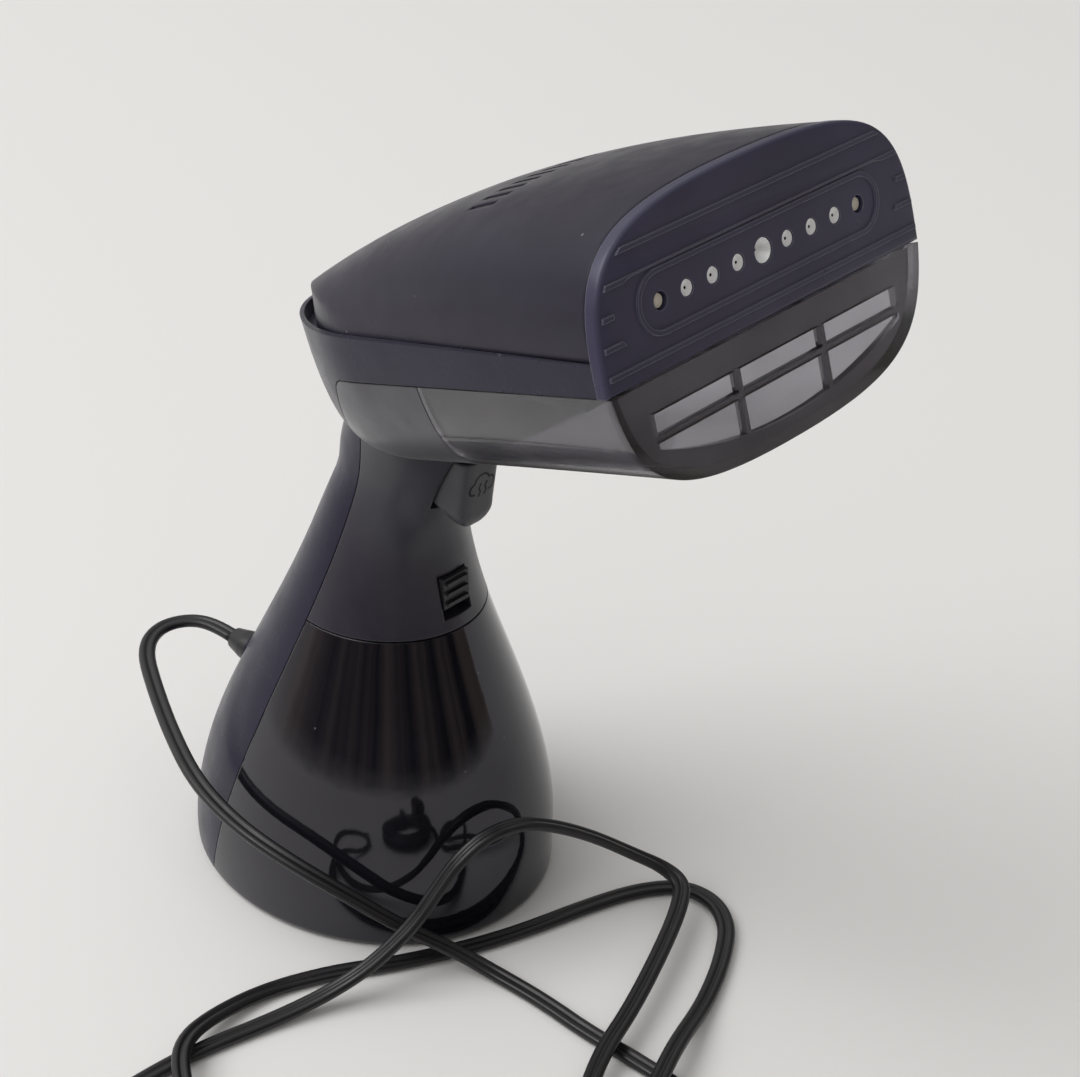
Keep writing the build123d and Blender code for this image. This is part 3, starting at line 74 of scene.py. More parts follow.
def carried_over(tree, value, old, new, smooth=False):
    """Value carried in proportion from the old pair of limits to the new pair, and held beyond them."""
    node = tree.nodes.new("ShaderNodeMapRange")
    if smooth:
        node.interpolation_type = "SMOOTHSTEP"
    for socket, limit in zip(("From Min", "From Max", "To Min", "To Max"), (*old, *new)):
        node.inputs[socket].default_value = limit
    tree.links.new(value, node.inputs["Value"])
    return node.outputs["Result"]


def colour_between(tree, value, limits, colours):
    """Colour that goes from the first to the second as the value goes from the low limit to the high one."""
    node = tree.nodes.new("ShaderNodeValToRGB")
    for element, limit, colour in zip(node.color_ramp.elements, limits, colours):
        element.position = limit
        element.color = (*colour, 1.0)
    tree.links.new(value, node.inputs["Fac"])
    return node.outputs["Color"]


def laid_over(tree, share, under, over):
    """Colour that is the under one where the share is nought, and the plain over one where it is whole."""
    node = tree.nodes.new("ShaderNodeMix")
    node.data_type = "RGBA"
    tree.links.new(share, node.inputs["Factor"])
    tree.links.new(under, node.inputs["A"])
    node.inputs["B"].default_value = (*over, 1.0)
    return node.outputs["Result"]


def moulded(
    name, colour, rough, rough_spread, grain, depth, mottle, edge, dust=0.0, gloss=0.5, haze=0.0, painted_edge_highlight=0.0
):
    """Moulded plastic: a slowly mottled colour, a patchy roughness, the fine grain of the mould as a bump,
    and edges softened over a small radius. Dust is how pale the specks are, at most one in each cell of a
    scattered pattern. Haze is the grey bloom at a glancing view. The last argument sets a painted highlight:
    each edge whose softened normal turns away from its face is painted pale, as if it caught the light, and
    the share rises as the cosine between the two normals falls."""
    dust_grey = (0.30, 0.30, 0.31)
    painted_highlight_grey = (0.24, 0.24, 0.29)
    material = bpy.data.materials.new(name)
    material.use_nodes = True
    tree = material.node_tree
    shader = tree.nodes["Principled BSDF"]
    shader.inputs["Specular IOR Level"].default_value = gloss
    shader.inputs["Sheen Weight"].default_value = haze
    shader.inputs["Sheen Roughness"].default_value = 0.35
    place = tree.nodes.new("ShaderNodeTexCoord").outputs["Object"]
    darker = [part * (1.0 - mottle) for part in colour]
    lighter = [part * (1.0 + mottle) for part in colour]
    slow = noise_value(tree, place, scale=42.0, detail=5.0)
    mottled = colour_between(tree, slow, (0.3, 0.7), (darker, lighter))
    cells = tree.nodes.new("ShaderNodeTexVoronoi")
    cells.inputs["Scale"].default_value = 75.0
    tree.links.new(place, cells.inputs["Vector"])
    speck = carried_over(tree, cells.outputs["Distance"], old=(0.016, 0.034), new=(dust, 0.0))
    dusted = laid_over(tree, speck, mottled, dust_grey)
    patches = noise_value(tree, place, scale=130.0, detail=6.0)
    roughness = carried_over(tree, patches, old=(0.3, 0.7), new=(rough - rough_spread, rough + rough_spread))
    tree.links.new(roughness, shader.inputs["Roughness"])
    softened = tree.nodes.new("ShaderNodeBevel")
    softened.samples = 4
    softened.inputs["Radius"].default_value = edge
    face = tree.nodes.new("ShaderNodeNewGeometry")
    turned = tree.nodes.new("ShaderNodeVectorMath")
    turned.operation = "DOT_PRODUCT"
    tree.links.new(softened.outputs["Normal"], turned.inputs[0])
    tree.links.new(face.outputs["Normal"], turned.inputs[1])
    # Painted highlight: edges whose softened normal turns away from the face are painted paler, standing in
    # for light caught on them.
    painted_highlight_share = carried_over(tree, turned.outputs["Value"], old=(0.995, 0.94), new=(0.0, painted_edge_highlight))
    tree.links.new(laid_over(tree, painted_highlight_share, dusted, painted_highlight_grey), shader.inputs["Base Color"])
    bump = tree.nodes.new("ShaderNodeBump")
    bump.inputs["Strength"].default_value = 0.35
    bump.inputs["Distance"].default_value = depth
    tree.links.new(noise_value(tree, place, scale=grain, detail=3.0), bump.inputs["Height"])
    tree.links.new(softened.outputs["Normal"], bump.inputs["Normal"])
    tree.links.new(bump.outputs["Normal"], shader.inputs["Normal"])
    return material


tank_gloss = moulded(
    "tank_gloss", (0.0068, 0.0066, 0.0092), rough=0.055, rough_spread=0.02, grain=900.0, depth=0.000001,
    mottle=0.2, edge=0.0005, dust=0.25, gloss=0.62,
)
tank_gloss.node_tree.nodes["Principled BSDF"].inputs["Specular Tint"].default_value = (0.93, 0.90, 1.0, 1.0)
dress("water_tank", tank_gloss)

# Fittings in the tank's top: the filler's stopper and the seal are black rubber, the valve and its poppet
# plain dark plastic. They are pressed into the tank and stay hidden until the housing lifts off.
rubber = moulded(
    "fitting_rubber", (0.018, 0.018, 0.018), rough=0.62, rough_spread=0.1, grain=1500.0, depth=0.00003,
    mottle=0.25, edge=0.0003,
)
for node in ("filler_stopper", "tank_seal"):
    dress(node, rubber)
inner_plastic = moulded(
    "inner_plastic", (0.030, 0.030, 0.033), rough=0.5, rough_spread=0.1, grain=1100.0, depth=0.00002,
    mottle=0.2, edge=0.0003,
)
for node in ("tank_valve", "valve_poppet"):
    dress(node, inner_plastic)

# Rear housing: bowl of the head, back of the handle and back of the base, moulded in one piece.
# Satin navy plastic with a fine grain from the mould, little gloss, and a grey bloom at a glancing view.
housing_plastic = moulded(
    "housing_plastic", (0.0175, 0.0168, 0.0330), rough=0.30, rough_spread=0.05, grain=1700.0, depth=0.000016,
    mottle=0.12, edge=0.0005, dust=0.4, gloss=0.10, haze=0.10,
)
dress("rear_housing", housing_plastic)

# Front cover: the front of the neck and handle above the tank, with openings for the trigger and the latch.
# It is moulded in the housing's plastic with a rougher grain for the hand, and meets it in the side seams.
grip_plastic = moulded(
    "grip_plastic", (0.0175, 0.0162, 0.0280), rough=0.34, rough_spread=0.05, grain=1900.0, depth=0.000024,
    mottle=0.12, edge=0.0005, dust=0.4, gloss=0.55, haze=0.14,
)
dress("front_cover", grip_plastic)

# Top cover of the head: a vaulted moulding in a warmer navy than the housing, with slits for air.
# It drops into the bowl's rim and leaves a dark gap along the head, and its edges are softened widely.
top_plastic = moulded(
    "top_plastic", (0.0180, 0.0160, 0.0290), rough=0.34, rough_spread=0.05, grain=1700.0, depth=0.000016,
    mottle=0.12, edge=0.0022, dust=0.5, gloss=0.22,
)
dress("head_top_cover", top_plastic)

# Steam plate: the head's front, moulded in one piece with its ribs, its raised oval line and a row of holes.
# Satin navy plastic, with pale highlights painted along the edges of the ribs. It leans back from the
# upright by its tilt.
plate_plastic = moulded(
    "plate_plastic", (0.0460, 0.0440, 0.0800), rough=0.34, rough_spread=0.07, grain=1500.0, depth=0.000014,
    mottle=0.12, edge=0.0003, dust=0.6, gloss=0.38, painted_edge_highlight=0.75,
)
dress("face_plate", plate_plastic)
plate_tilt = math.radians(15.0)
plate_inward = (0.0, math.cos(plate_tilt), -math.sin(plate_tilt))
plate_upward = (0.0, math.sin(plate_tilt), math.cos(plate_tilt))
row_centre = (0.0, -0.1429, 0.2379)

# Lower shell of the head: smoked clear plastic, moulded with the grille in its front and set under the bowl.
# Its wall holds back more than half of the light, so the inside shows faintly. The front panel is darker,
# and the skin that faces down along the bottom edge carries painted shade, as in the shadow under the head,
# and is also more matt.
def measured_along(tree, vector, direction):
    """How far a vector reaches along a direction: their dot product."""
    node = tree.nodes.new("ShaderNodeVectorMath")
    node.operation = "DOT_PRODUCT"
    node.inputs[1].default_value = direction
    tree.links.new(vector, node.inputs[0])
    return node.outputs["Value"]


def reckoned(tree, operation, *terms):
    """Result of one sum on its terms, each of them a plain number or another node's output."""
    node = tree.nodes.new("ShaderNodeMath")
    node.operation = operation
    for socket, term in zip(node.inputs, terms):
        if isinstance(term, float):
            socket.default_value = term
        else:
            tree.links.new(term, socket)
    return node.outputs["Value"]


shell_edge_upward = (0.0, 0.3554, 0.9400)
smoked = bpy.data.materials.new("smoked_clear")
smoked.use_nodes = True
smoked_tree = smoked.node_tree
smoked_shader = smoked_tree.nodes["Principled BSDF"]
smoked_shader.inputs["Transmission Weight"].default_value = 0.93
smoked_shader.inputs["IOR"].default_value = 1.36
smoked_place = smoked_tree.nodes.new("ShaderNodeTexCoord").outputs["Object"]
smoked_haze = noise_value(smoked_tree, smoked_place, scale=55.0, detail=6.0)
smoked_greys = ((0.38, 0.37, 0.405), (0.46, 0.45, 0.49))
smoked_tint = colour_between(smoked_tree, smoked_haze, (0.3, 0.72), smoked_greys)
smoked_from_row = smoked_tree.nodes.new("ShaderNodeVectorMath")
smoked_from_row.operation = "SUBTRACT"
smoked_from_row.inputs[1].default_value = row_centre
smoked_tree.links.new(smoked_place, smoked_from_row.inputs[0])
smoked_depth = measured_along(smoked_tree, smoked_from_row.outputs["Vector"], plate_inward)
smoked_panel = carried_over(smoked_tree, smoked_depth, old=(0.0021, 0.0027), new=(0.44, 1.0))
smoked_rise = measured_along(smoked_tree, smoked_from_row.outputs["Vector"], shell_edge_upward)
# Painted shade: along the bottom edge, the skin that faces down is darkened to a twenty-fifth, as in the
# shadow under the head.
smoked_edge_painted_shade = carried_over(smoked_tree, smoked_rise, old=(-0.0385, -0.0335), new=(0.04, 1.0), smooth=True)
smoked_skin = smoked_tree.nodes.new("ShaderNodeNewGeometry")
smoked_facing = smoked_tree.nodes.new("ShaderNodeSeparateXYZ")
smoked_tree.links.new(smoked_skin.outputs["Normal"], smoked_facing.inputs["Vector"])
smoked_faces_down = carried_over(smoked_tree, smoked_facing.outputs["Z"], old=(-0.05, -0.15), new=(0.0, 1.0))
smoked_underside_painted_shade = smoked_tree.nodes.new("ShaderNodeMix")
smoked_underside_painted_shade.inputs["A"].default_value = 1.0
smoked_tree.links.new(smoked_faces_down, smoked_underside_painted_shade.inputs["Factor"])
smoked_tree.links.new(smoked_edge_painted_shade, smoked_underside_painted_shade.inputs["B"])
smoked_colour = smoked_tree.nodes.new("ShaderNodeVectorMath")
smoked_colour.operation = "SCALE"
smoked_panel_tint_and_painted_shade = reckoned(smoked_tree, "MULTIPLY", smoked_panel, smoked_underside_painted_shade.outputs["Result"])
smoked_tree.links.new(smoked_tint, smoked_colour.inputs[0])
smoked_tree.links.new(smoked_panel_tint_and_painted_shade, smoked_colour.inputs["Scale"])
smoked_tree.links.new(smoked_colour.outputs["Vector"], smoked_shader.inputs["Base Color"])
smoked_blur = carried_over(smoked_tree, smoked_haze, old=(0.0, 1.0), new=(0.05, 0.15))
smoked_painted_shade_share = reckoned(smoked_tree, "SUBTRACT", 1.0, smoked_underside_painted_shade.outputs["Result"])
smoked_matt = reckoned(smoked_tree, "MULTIPLY_ADD", smoked_painted_shade_share, 0.55, smoked_blur)
smoked_tree.links.new(smoked_matt, smoked_shader.inputs["Roughness"])
dress("lower_head_shell", smoked)

# Steam nozzles: seven turned dishes in the middle holes of the plate's row, the centre one larger.
# Pale plated metal, each with a small hole for the steam whose bore is painted black as shade, set into the
# block behind the plate.
def ring_quads(rings, sides, closed=False):
    """Quads from each ring of points to the next one, and from the last to the first where closed.
    Every ring has as many points as there are sides and closes on itself."""
    ring = np.arange(rings if closed else rings - 1)[:, None]
    following = (ring + 1) % rings
    step = np.arange(sides)
    after = (step + 1) % sides
    here, there = ring * sides, following * sides
    return np.stack([here + step, there + step, there + after, here + after], axis=2).reshape(-1, 4)


def new_piece(name, places, faces, material, smooth_faces=0):
    """New object at the origin with its place in its mesh; the first faces of the list are shaded smooth."""
    mesh = bpy.data.meshes.new(name)
    mesh.from_pydata(np.reshape(places, (-1, 3)).tolist(), [], faces)
    mesh.materials.append(material)
    mesh.polygons.foreach_set("use_smooth", np.arange(len(faces)) < smooth_faces)
    mesh.update()
    piece = bpy.data.objects.new(name, mesh)
    bpy.context.scene.collection.objects.link(piece)
    return piece


def turned_dishes(name, centres, radii, bowls, lip, hole, skin, bore):
    """Turned dishes in the plate's holes, as a closed profile carried round each centre: up the bore of
    the small hole, out along a parabola to the lip, over its crown, and back as a straight sleeve.
    The parabola is as deep as its bowl share of the radius, and it is a dome where that share is negative.
    Lip and back are depths in from the plate's face, in metres."""
    sides, dish_rings, bore_rings = 40, 14, 2
    back, bore_step = 0.0048, 0.0004
    crown_height, sleeve_drop = 0.00006, 0.0001
    profiles = []
    for radius, bowl in zip(radii, bowls):
        lip_inside, lip_crown, sleeve = radius - 0.00025, radius - 0.00015, radius - 0.0001
        reach = np.linspace(hole, lip_inside, dish_rings)
        dish = lip + bowl * radius * (1.0 - (reach / lip_inside) ** 2)
        reach = np.concatenate([[hole, hole], reach, [lip_crown, sleeve, sleeve]])
        rolled_lip = [lip - crown_height, lip + sleeve_drop, back]
        depth = np.concatenate([[back, dish[0] + bore_step], dish, rolled_lip])
        profiles.append(np.stack([reach, depth], axis=1))
    profiles = np.array(profiles)
    reach, depth = profiles[:, :, 0, None, None], profiles[:, :, 1, None, None]
    turn = np.linspace(0.0, 2.0 * math.pi, sides, endpoint=False)[:, None]
    spoke = np.cos(turn) * np.array([1.0, 0.0, 0.0]) + np.sin(turn) * np.array(plate_upward)
    places = np.array(centres)[:, None, None, :] + reach * spoke + depth * np.array(plate_inward)
    count, rings = places.shape[:2]
    first = np.arange(count)[:, None, None] * rings * sides
    faces = (first + ring_quads(rings, sides, closed=True)).reshape(-1, 4).tolist()
    piece = new_piece(name, places, faces, skin, smooth_faces=len(faces))
    piece.data.materials.append(bore)
    slots = np.zeros((count, rings, sides), dtype=np.int32)
    slots[:, :bore_rings] = 1
    piece.data.polygons.foreach_set("material_index", slots.ravel())
    piece.data.update()
    return piece


hole_pitch = 0.00863
row_places = [np.array(row_centre) + np.array([step * hole_pitch, 0.0, 0.0]) for step in range(-4, 5)]
nozzle_radii = [0.002] * 3 + [0.003] + [0.002] * 3
nozzle_bowls = [0.22] * 3 + [0.75] + [0.22] * 3
nozzle_plating = moulded(
    "nozzle_plate", (0.93, 0.94, 0.95), rough=0.34, rough_spread=0.08, grain=1500.0, depth=0.00001,
    mottle=0.03, edge=0.0001,
)
nozzle_plating.node_tree.nodes["Principled BSDF"].inputs["Metallic"].default_value = 0.3
# The bores of the nozzles take the black rubber: painted shade inside the small holes.
nozzles = turned_dishes(
    "nozzle_dishes", row_places[1:8], nozzle_radii, nozzle_bowls,
    lip=0.00035, hole=0.00036, skin=nozzle_plating, bore=rubber,
)
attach(nozzles, "housing")
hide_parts("steam_nozzles")

# End plugs of the row: two moulded discs in its outer holes, slightly domed and set deeper than the nozzles.
# Cream silicone, pushed into the plate from the front.
cream = moulded(
    "cream_silicone", (0.62, 0.56, 0.47), rough=0.5, rough_spread=0.1, grain=1200.0, depth=0.00002,
    mottle=0.1, edge=0.0001,
)
plugs = turned_dishes(
    "row_end_plugs", [row_places[0], row_places[8]], radii=[0.0017] * 2, bowls=[-0.08] * 2,
    lip=0.0010, hole=0.0001, skin=cream, bore=cream,
)
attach(plugs, "housing")

# Steam maker: chamber, lid and manifold are cast in dull aluminium with a sandy skin.
# Rubber seals close the joints between them, and a rubber hose and grommet bring the water in.
cast = moulded(
    "cast_metal", (0.42, 0.42, 0.43), rough=0.45, rough_spread=0.1, grain=1300.0, depth=0.00006,
    mottle=0.1, edge=0.0004,
)
cast.node_tree.nodes["Principled BSDF"].inputs["Metallic"].default_value = 1.0
for node in ("steam_chamber", "chamber_lid", "steam_manifold"):
    dress(node, cast)
for node in ("chamber_gasket", "manifold_seal", "inlet_grommet", "outlet_hose"):
    dress(node, rubber)

# Bright metal parts: heater bar, lid screws, thermostat, trigger pin and the three wound springs.
# Drawn or pressed steel, left bare. Its finish is finely uneven, which breaks up the reflections.
def bare_metal(name, colour, grain, detail, roughness):
    """Bare metal whose roughness wanders finely between two limits."""
    material = bpy.data.materials.new(name)
    material.use_nodes = True
    tree = material.node_tree
    shader = tree.nodes["Principled BSDF"]
    shader.inputs["Metallic"].default_value = 1.0
    shader.inputs["Base Color"].default_value = (*colour, 1.0)
    place = tree.nodes.new("ShaderNodeTexCoord").outputs["Object"]
    uneven = noise_value(tree, place, grain, detail)
    tree.links.new(carried_over(tree, uneven, old=(0.0, 1.0), new=roughness), shader.inputs["Roughness"])
    return material


bright = bare_metal("bright_metal", (0.90, 0.90, 0.91), grain=800.0, detail=4.0, roughness=(0.2, 0.42))
for node in (
    "heating_element", "lid_screws", "thermostat", "trigger_pin",
    "trigger_spring", "latch_spring", "valve_spring",
):
    dress(node, bright)

# Parts inside: heat shield, pump and its bracket, switch and its shelf, fuse, terminals and cord clamp.
# They are plain dark mouldings, fixed to the housing's inside. The circuit board is green laminate.
for node in (
    "heat_shield", "water_pump", "pump_bracket", "switch_shelf",
    "micro_switch", "thermal_fuse", "terminal_block", "cord_clamp",
):
    dress(node, inner_plastic)
board_green = moulded(
    "board_green", (0.02, 0.11, 0.045), rough=0.35, rough_spread=0.1, grain=700.0, depth=0.00002,
    mottle=0.25, edge=0.0002,
)
dress("circuit_board", board_green)

# Trigger: the lever under the head that turns on its pin to let the steam go, moulded in a plastic slightly
# lighter and greyer than the handle. Its front is rounded off into the sides and runs out in a round end at
# the bottom. The front and back lines are heights and the places along y at them, in metres.
trigger_foot, trigger_top = 0.1304, 0.1526
trigger_front = ((trigger_foot, 0.1360, trigger_top), (-0.0503, -0.0512, -0.0542))
trigger_back = ((trigger_foot, 0.1342, 0.1370, 0.1532), (-0.0465, -0.0430, -0.0378, -0.0417))
trigger_half_width = 0.0068
trigger_squareness = 4.6
trigger_rings, trigger_sides = 40, 64


def trigger_section(height):
    """Half width, middle and half depth of the trigger at each height: the front and back lines give the
    depth, and both width and depth close over the foot, each by its own squared circle."""
    width_round, width_power = 0.0075, 2.3
    depth_round, depth_power = 0.0045, 2.2
    front = np.interp(height, *trigger_front)
    back = np.interp(height, *trigger_back)
    width_end = np.clip((trigger_foot + width_round - height) / width_round, 0.0, 1.0)
    depth_end = np.clip((trigger_foot + depth_round - height) / depth_round, 0.0, 1.0)
    width = trigger_half_width * (1.0 - width_end ** width_power) ** (1.0 / width_power)
    depth = (back - front) / 2.0 * (1.0 - depth_end ** depth_power) ** (1.0 / depth_power)
    return width, (front + back) / 2.0, depth


def trigger_skin():
    """Points of the trigger, ring by ring from the foot up and closer together near it. Each ring is a
    squared circle: cosine and sine of the turn, raised to two over the squareness with their signs kept."""
    crowding = 1.7
    share = np.linspace(0.0, 1.0, trigger_rings)[:, None]
    height = trigger_foot + (trigger_top - trigger_foot) * share ** crowding
    width, middle, depth = trigger_section(height)
    turn = np.linspace(0.0, 2.0 * math.pi, trigger_sides, endpoint=False)
    power = 2.0 / trigger_squareness
    wide = np.sign(np.cos(turn)) * np.abs(np.cos(turn)) ** power
    deep = np.sign(np.sin(turn)) * np.abs(np.sin(turn)) ** power
    return np.stack(np.broadcast_arrays(width * wide, middle + depth * deep, height), axis=2)


trigger_plastic = moulded(
    "trigger_plastic", (0.042, 0.041, 0.050), rough=0.42, rough_spread=0.06, grain=1600.0, depth=0.00002,
    mottle=0.1, edge=0.0004, dust=0.4, gloss=0.4,
)
other_way_round = [0, 3, 2, 1]
trigger_wall = ring_quads(trigger_rings, trigger_sides)[:, other_way_round].tolist()
trigger_end = list(range((trigger_rings - 1) * trigger_sides, trigger_rings * trigger_sides))
trigger_lever = new_piece(
    "trigger_lever", trigger_skin(), trigger_wall + [trigger_end], trigger_plastic, len(trigger_wall)
)
trigger_closed = trigger_lever.modifiers.new("closed_foot", "WELD")
trigger_closed.merge_threshold = 0.00002
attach(trigger_lever, "trigger")
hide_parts("trigger")

# Steam cloud on the trigger's front: a plain cloud with two rising wisps, printed in thin dark lines.
# The ink is laid a hair above the plastic. Lines run across the face and down from its top, in millimetres.
cloud_lines = [
    [(-4.1, 10.6), (-4.6, 9.3), (-4.2, 7.9), (-3.1, 7.3), (-2.6, 5.9), (-1.4, 5.0), (0.2, 4.9), (1.5, 5.6),
     (2.1, 6.7)],
    [(2.1, 6.7), (3.4, 6.8), (4.3, 7.8), (4.4, 9.2), (3.9, 10.6)],
    [(-4.1, 10.6), (-2.6, 10.9)],
    [(2.4, 10.9), (3.9, 10.6)],
    [(-1.2, 12.0), (-0.6, 10.6), (-1.2, 9.2), (-0.6, 7.8)],
    [(1.0, 12.0), (1.6, 10.6), (1.0, 9.2), (1.6, 7.8)],
]
ink_half_width, ink_height = 0.0003, 0.00006


def cloud_ribbon(line):
    """One printed line as a strip of points in pairs: each point is moved half the line's width to both
    sides, then set on the trigger's rounded front, whose depth comes from the lever's squared circle."""
    millimetre = 0.001
    places = np.array(line) * millimetre
    along = np.gradient(places, axis=0)
    along /= np.linalg.norm(along, axis=1, keepdims=True)
    beside = np.stack([-along[:, 1], along[:, 0]], axis=1) * ink_half_width
    edges = np.stack([places + beside, places - beside], axis=1).reshape(-1, 2)
    height = trigger_top - edges[:, 1]
    width, middle, depth = trigger_section(height)
    bow = (1.0 - np.abs(edges[:, 0] / width) ** trigger_squareness) ** (1.0 / trigger_squareness)
    return np.stack([edges[:, 0], middle - depth * bow - ink_height, height], axis=1)


cloud_places, cloud_faces = [], []
for line in cloud_lines:
    first = len(cloud_places)
    cloud_places.extend(cloud_ribbon(line).tolist())
    for corner in range(first, len(cloud_places) - 2, 2):
        cloud_faces.append((corner, corner + 2, corner + 3, corner + 1))
print_ink = moulded(
    "print_ink", (0.004, 0.004, 0.005), rough=0.5, rough_spread=0.08, grain=1500.0, depth=0.000005,
    mottle=0.2, edge=0.0001, gloss=0.2,
)
cloud = new_piece("steam_cloud", cloud_places, cloud_faces, print_ink)
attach(cloud, "trigger")

# Tank latch: the ridged slider in the handle's front, pushed down by hand to let the tank go.
# It is moulded in a blacker plastic than the handle and slides in its pocket against a spring.
latch_plastic = moulded(
    "latch_plastic", (0.0085, 0.0085, 0.011), rough=0.4, rough_spread=0.06, grain=1600.0, depth=0.00002,
    mottle=0.12, edge=0.0003, dust=0.3,
)
dress("tank_latch", latch_plastic)

# Lead: a flat twin cord, two cores side by side in one soft black jacket, held by a relief at the back.
# It runs down the side of the base, lies in open bends on the floor with one standing bow, and is then wound
# into the tied coil. Points are in metres, first the loose route and then the coil's own turns.
lead_route = [
    (0.0, 0.0605, 0.045),
    (0.0, 0.0695, 0.0458),
    (-0.004, 0.078, 0.0464),
    (-0.0135, 0.082, 0.0463),
    (-0.0235, 0.077, 0.0452),
    (-0.0325, 0.061, 0.043),
    (-0.0425, 0.0405, 0.0405),
    (-0.051, 0.019, 0.038),
    (-0.0545, -0.003, 0.036),
    (-0.053, -0.022, 0.033),
    (-0.0465, -0.0385, 0.026),
    (-0.037, -0.0515, 0.015),
    (-0.0275, -0.0625, 0.007),
    (-0.0225, -0.075, 0.0018),
    (-0.0216, -0.092, 0.0017),
    (-0.0224, -0.110, 0.0017),
    (-0.0214, -0.130, 0.0017),
    (-0.022, -0.152, 0.0017),
    (-0.021, -0.178, 0.0017),
    (-0.037, -0.193, 0.0017),
    (-0.0583, -0.190, 0.0017),
    (-0.0688, -0.172, 0.0017),
    (-0.0616, -0.1525, 0.0017),
    (-0.043, -0.145, 0.0035),
    (-0.026, -0.139, 0.0066),
    (-0.013, -0.134, 0.0066),
    (0.005, -0.1275, 0.0025),
    (0.018, -0.122, 0.0017),
    (0.0285, -0.1165, 0.0017),
    (0.038, -0.110, 0.0017),
    (0.044, -0.100, 0.0017),
    (0.0425, -0.0885, 0.0017),
    (0.032, -0.080, 0.0017),
    (0.017, -0.074, 0.0017),
    (-0.001, -0.0685, 0.0017),
    (-0.014, -0.0635, 0.0017),
    (-0.027, -0.057, 0.0017),
    (-0.040, -0.0495, 0.0017),
    (-0.053, -0.040, 0.0017),
    (-0.0705, -0.0315, 0.0017),
    (-0.088, -0.030, 0.0035),
    (-0.103, -0.034, 0.0066),
    (-0.112, -0.044, 0.0066),
    (-0.118, -0.058, 0.0035),
    (-0.128, -0.074, 0.0017),
    (-0.146, -0.083, 0.0017),
    (-0.165, -0.076, 0.0017),
    (-0.172, -0.057, 0.0017),
    (-0.162, -0.0405, 0.0017),
    (-0.139, -0.033, 0.0017),
    (-0.114, -0.0336, 0.0017),
    (-0.097, -0.0365, 0.0017),
    (-0.080, -0.0415, 0.0017),
    (-0.065, -0.047, 0.0040),
    (-0.054, -0.0518, 0.0085),
    (-0.046, -0.055, 0.0135),
    (-0.037, -0.058, 0.0205),
    (-0.030, -0.0595, 0.028),
    (-0.023, -0.0615, 0.036),
    (-0.014, -0.064, 0.041),
    (-0.003, -0.0675, 0.041),
    (0.008, -0.071, 0.035),
    (0.019, -0.0755, 0.027),
    (0.029, -0.081, 0.018),
    (0.0365, -0.0865, 0.0115),
    (0.037, -0.0935, 0.009),
    (0.030, -0.0985, 0.0075),
    (0.014, -0.106, 0.0070),
    (-0.011, -0.116, 0.0066),
    (-0.030, -0.1216, 0.0066),
    (-0.044, -0.128, 0.0030),
    (-0.057, -0.1365, 0.0017),
    (-0.069, -0.150, 0.0017),
    (-0.0790, -0.1668, 0.0031),
]
coil_centre = (-0.121, -0.140)
coil_start = math.radians(-60.0)
coil_turns = 6.0
coil_layer_turns = 2.75
coil_climb_turns = 0.5
coil_outer_reach, coil_pitch = 0.0446, 0.0069
coil_floor, coil_layer_rise = 0.0031, 0.0053
coil_points_per_turn = 14
coil_turn = np.linspace(0.0, coil_turns, int(coil_turns * coil_points_per_turn) + 1)
coil_angle = coil_start - 2.0 * math.pi * coil_turn
coil_inward = np.minimum(coil_turn, coil_layer_turns)
coil_outward = np.maximum(0.0, coil_turn - coil_layer_turns - coil_climb_turns)
coil_reach = coil_outer_reach - coil_pitch * (coil_inward - coil_outward)
coil_climbed = np.clip((coil_turn - coil_layer_turns) / coil_climb_turns, 0.0, 1.0)
coil_points = np.stack([
    coil_centre[0] + coil_reach * np.cos(coil_angle),
    coil_centre[1] + coil_reach * np.sin(coil_angle),
    coil_floor + coil_layer_rise * (1.0 - np.cos(math.pi * coil_climbed)) / 2.0,
], axis=1)
tail_way = np.array([math.sin(coil_angle[-1]), -math.cos(coil_angle[-1]), 0.0])
tail_points = coil_points[-1] + np.outer([0.010, 0.020, 0.030], tail_way)
lead_points = np.concatenate([np.array(lead_route), coil_points, tail_points])
lead_curve = bpy.data.curves.new("lead_route", "CURVE")
lead_curve.dimensions = "3D"
lead_curve.resolution_u = 6
lead_spline = lead_curve.splines.new("NURBS")
lead_spline.points.add(len(lead_points) - 1)
for point, place in zip(lead_spline.points, lead_points):
    point.co = (*place, 1.0)
lead_spline.order_u = 3
lead_spline.use_endpoint_u = True
lead_guide = bpy.data.objects.new("lead_guide", lead_curve)
bpy.context.scene.collection.objects.link(lead_guide)
bpy.context.view_layer.update()
lead_line = bpy.data.meshes.new_from_object(lead_guide)
lead_path = np.array([vertex.co for vertex in lead_line.vertices])
bpy.data.objects.remove(lead_guide)
lead_half_width, lead_half_height = 0.0026, 0.00135
lead_web_share = 0.45
lead_sides = 40


def flat_lead_rings(path):
    """Rings of points round a twin lead: two round cores side by side, their outline the larger of two
    circles and a thin web, laid flat so that the width stays level and the thickness follows the slope."""
    along = np.gradient(path, axis=0)
    along /= np.linalg.norm(along, axis=1, keepdims=True)
    across = np.cross(along, np.array([0.0, 0.0, 1.0]))
    across /= np.linalg.norm(across, axis=1, keepdims=True)
    upward = np.cross(across, along)
    turn = np.linspace(0.0, 2.0 * math.pi, lead_sides, endpoint=False)
    wide = np.cos(turn) * lead_half_width
    core = lead_half_width - lead_half_height
    round_part = np.sqrt(np.maximum(0.0, lead_half_height ** 2 - (np.abs(wide) - core) ** 2))
    web_part = np.where(np.abs(wide) < core, lead_web_share * lead_half_height, 0.0)
    tall = np.sign(np.sin(turn)) * np.maximum(round_part, web_part)
    tall[np.isclose(np.abs(np.cos(turn)), 1.0)] = 0.0
    return path[:, None] + across[:, None] * wide[None, :, None] + upward[:, None] * tall[None, :, None]


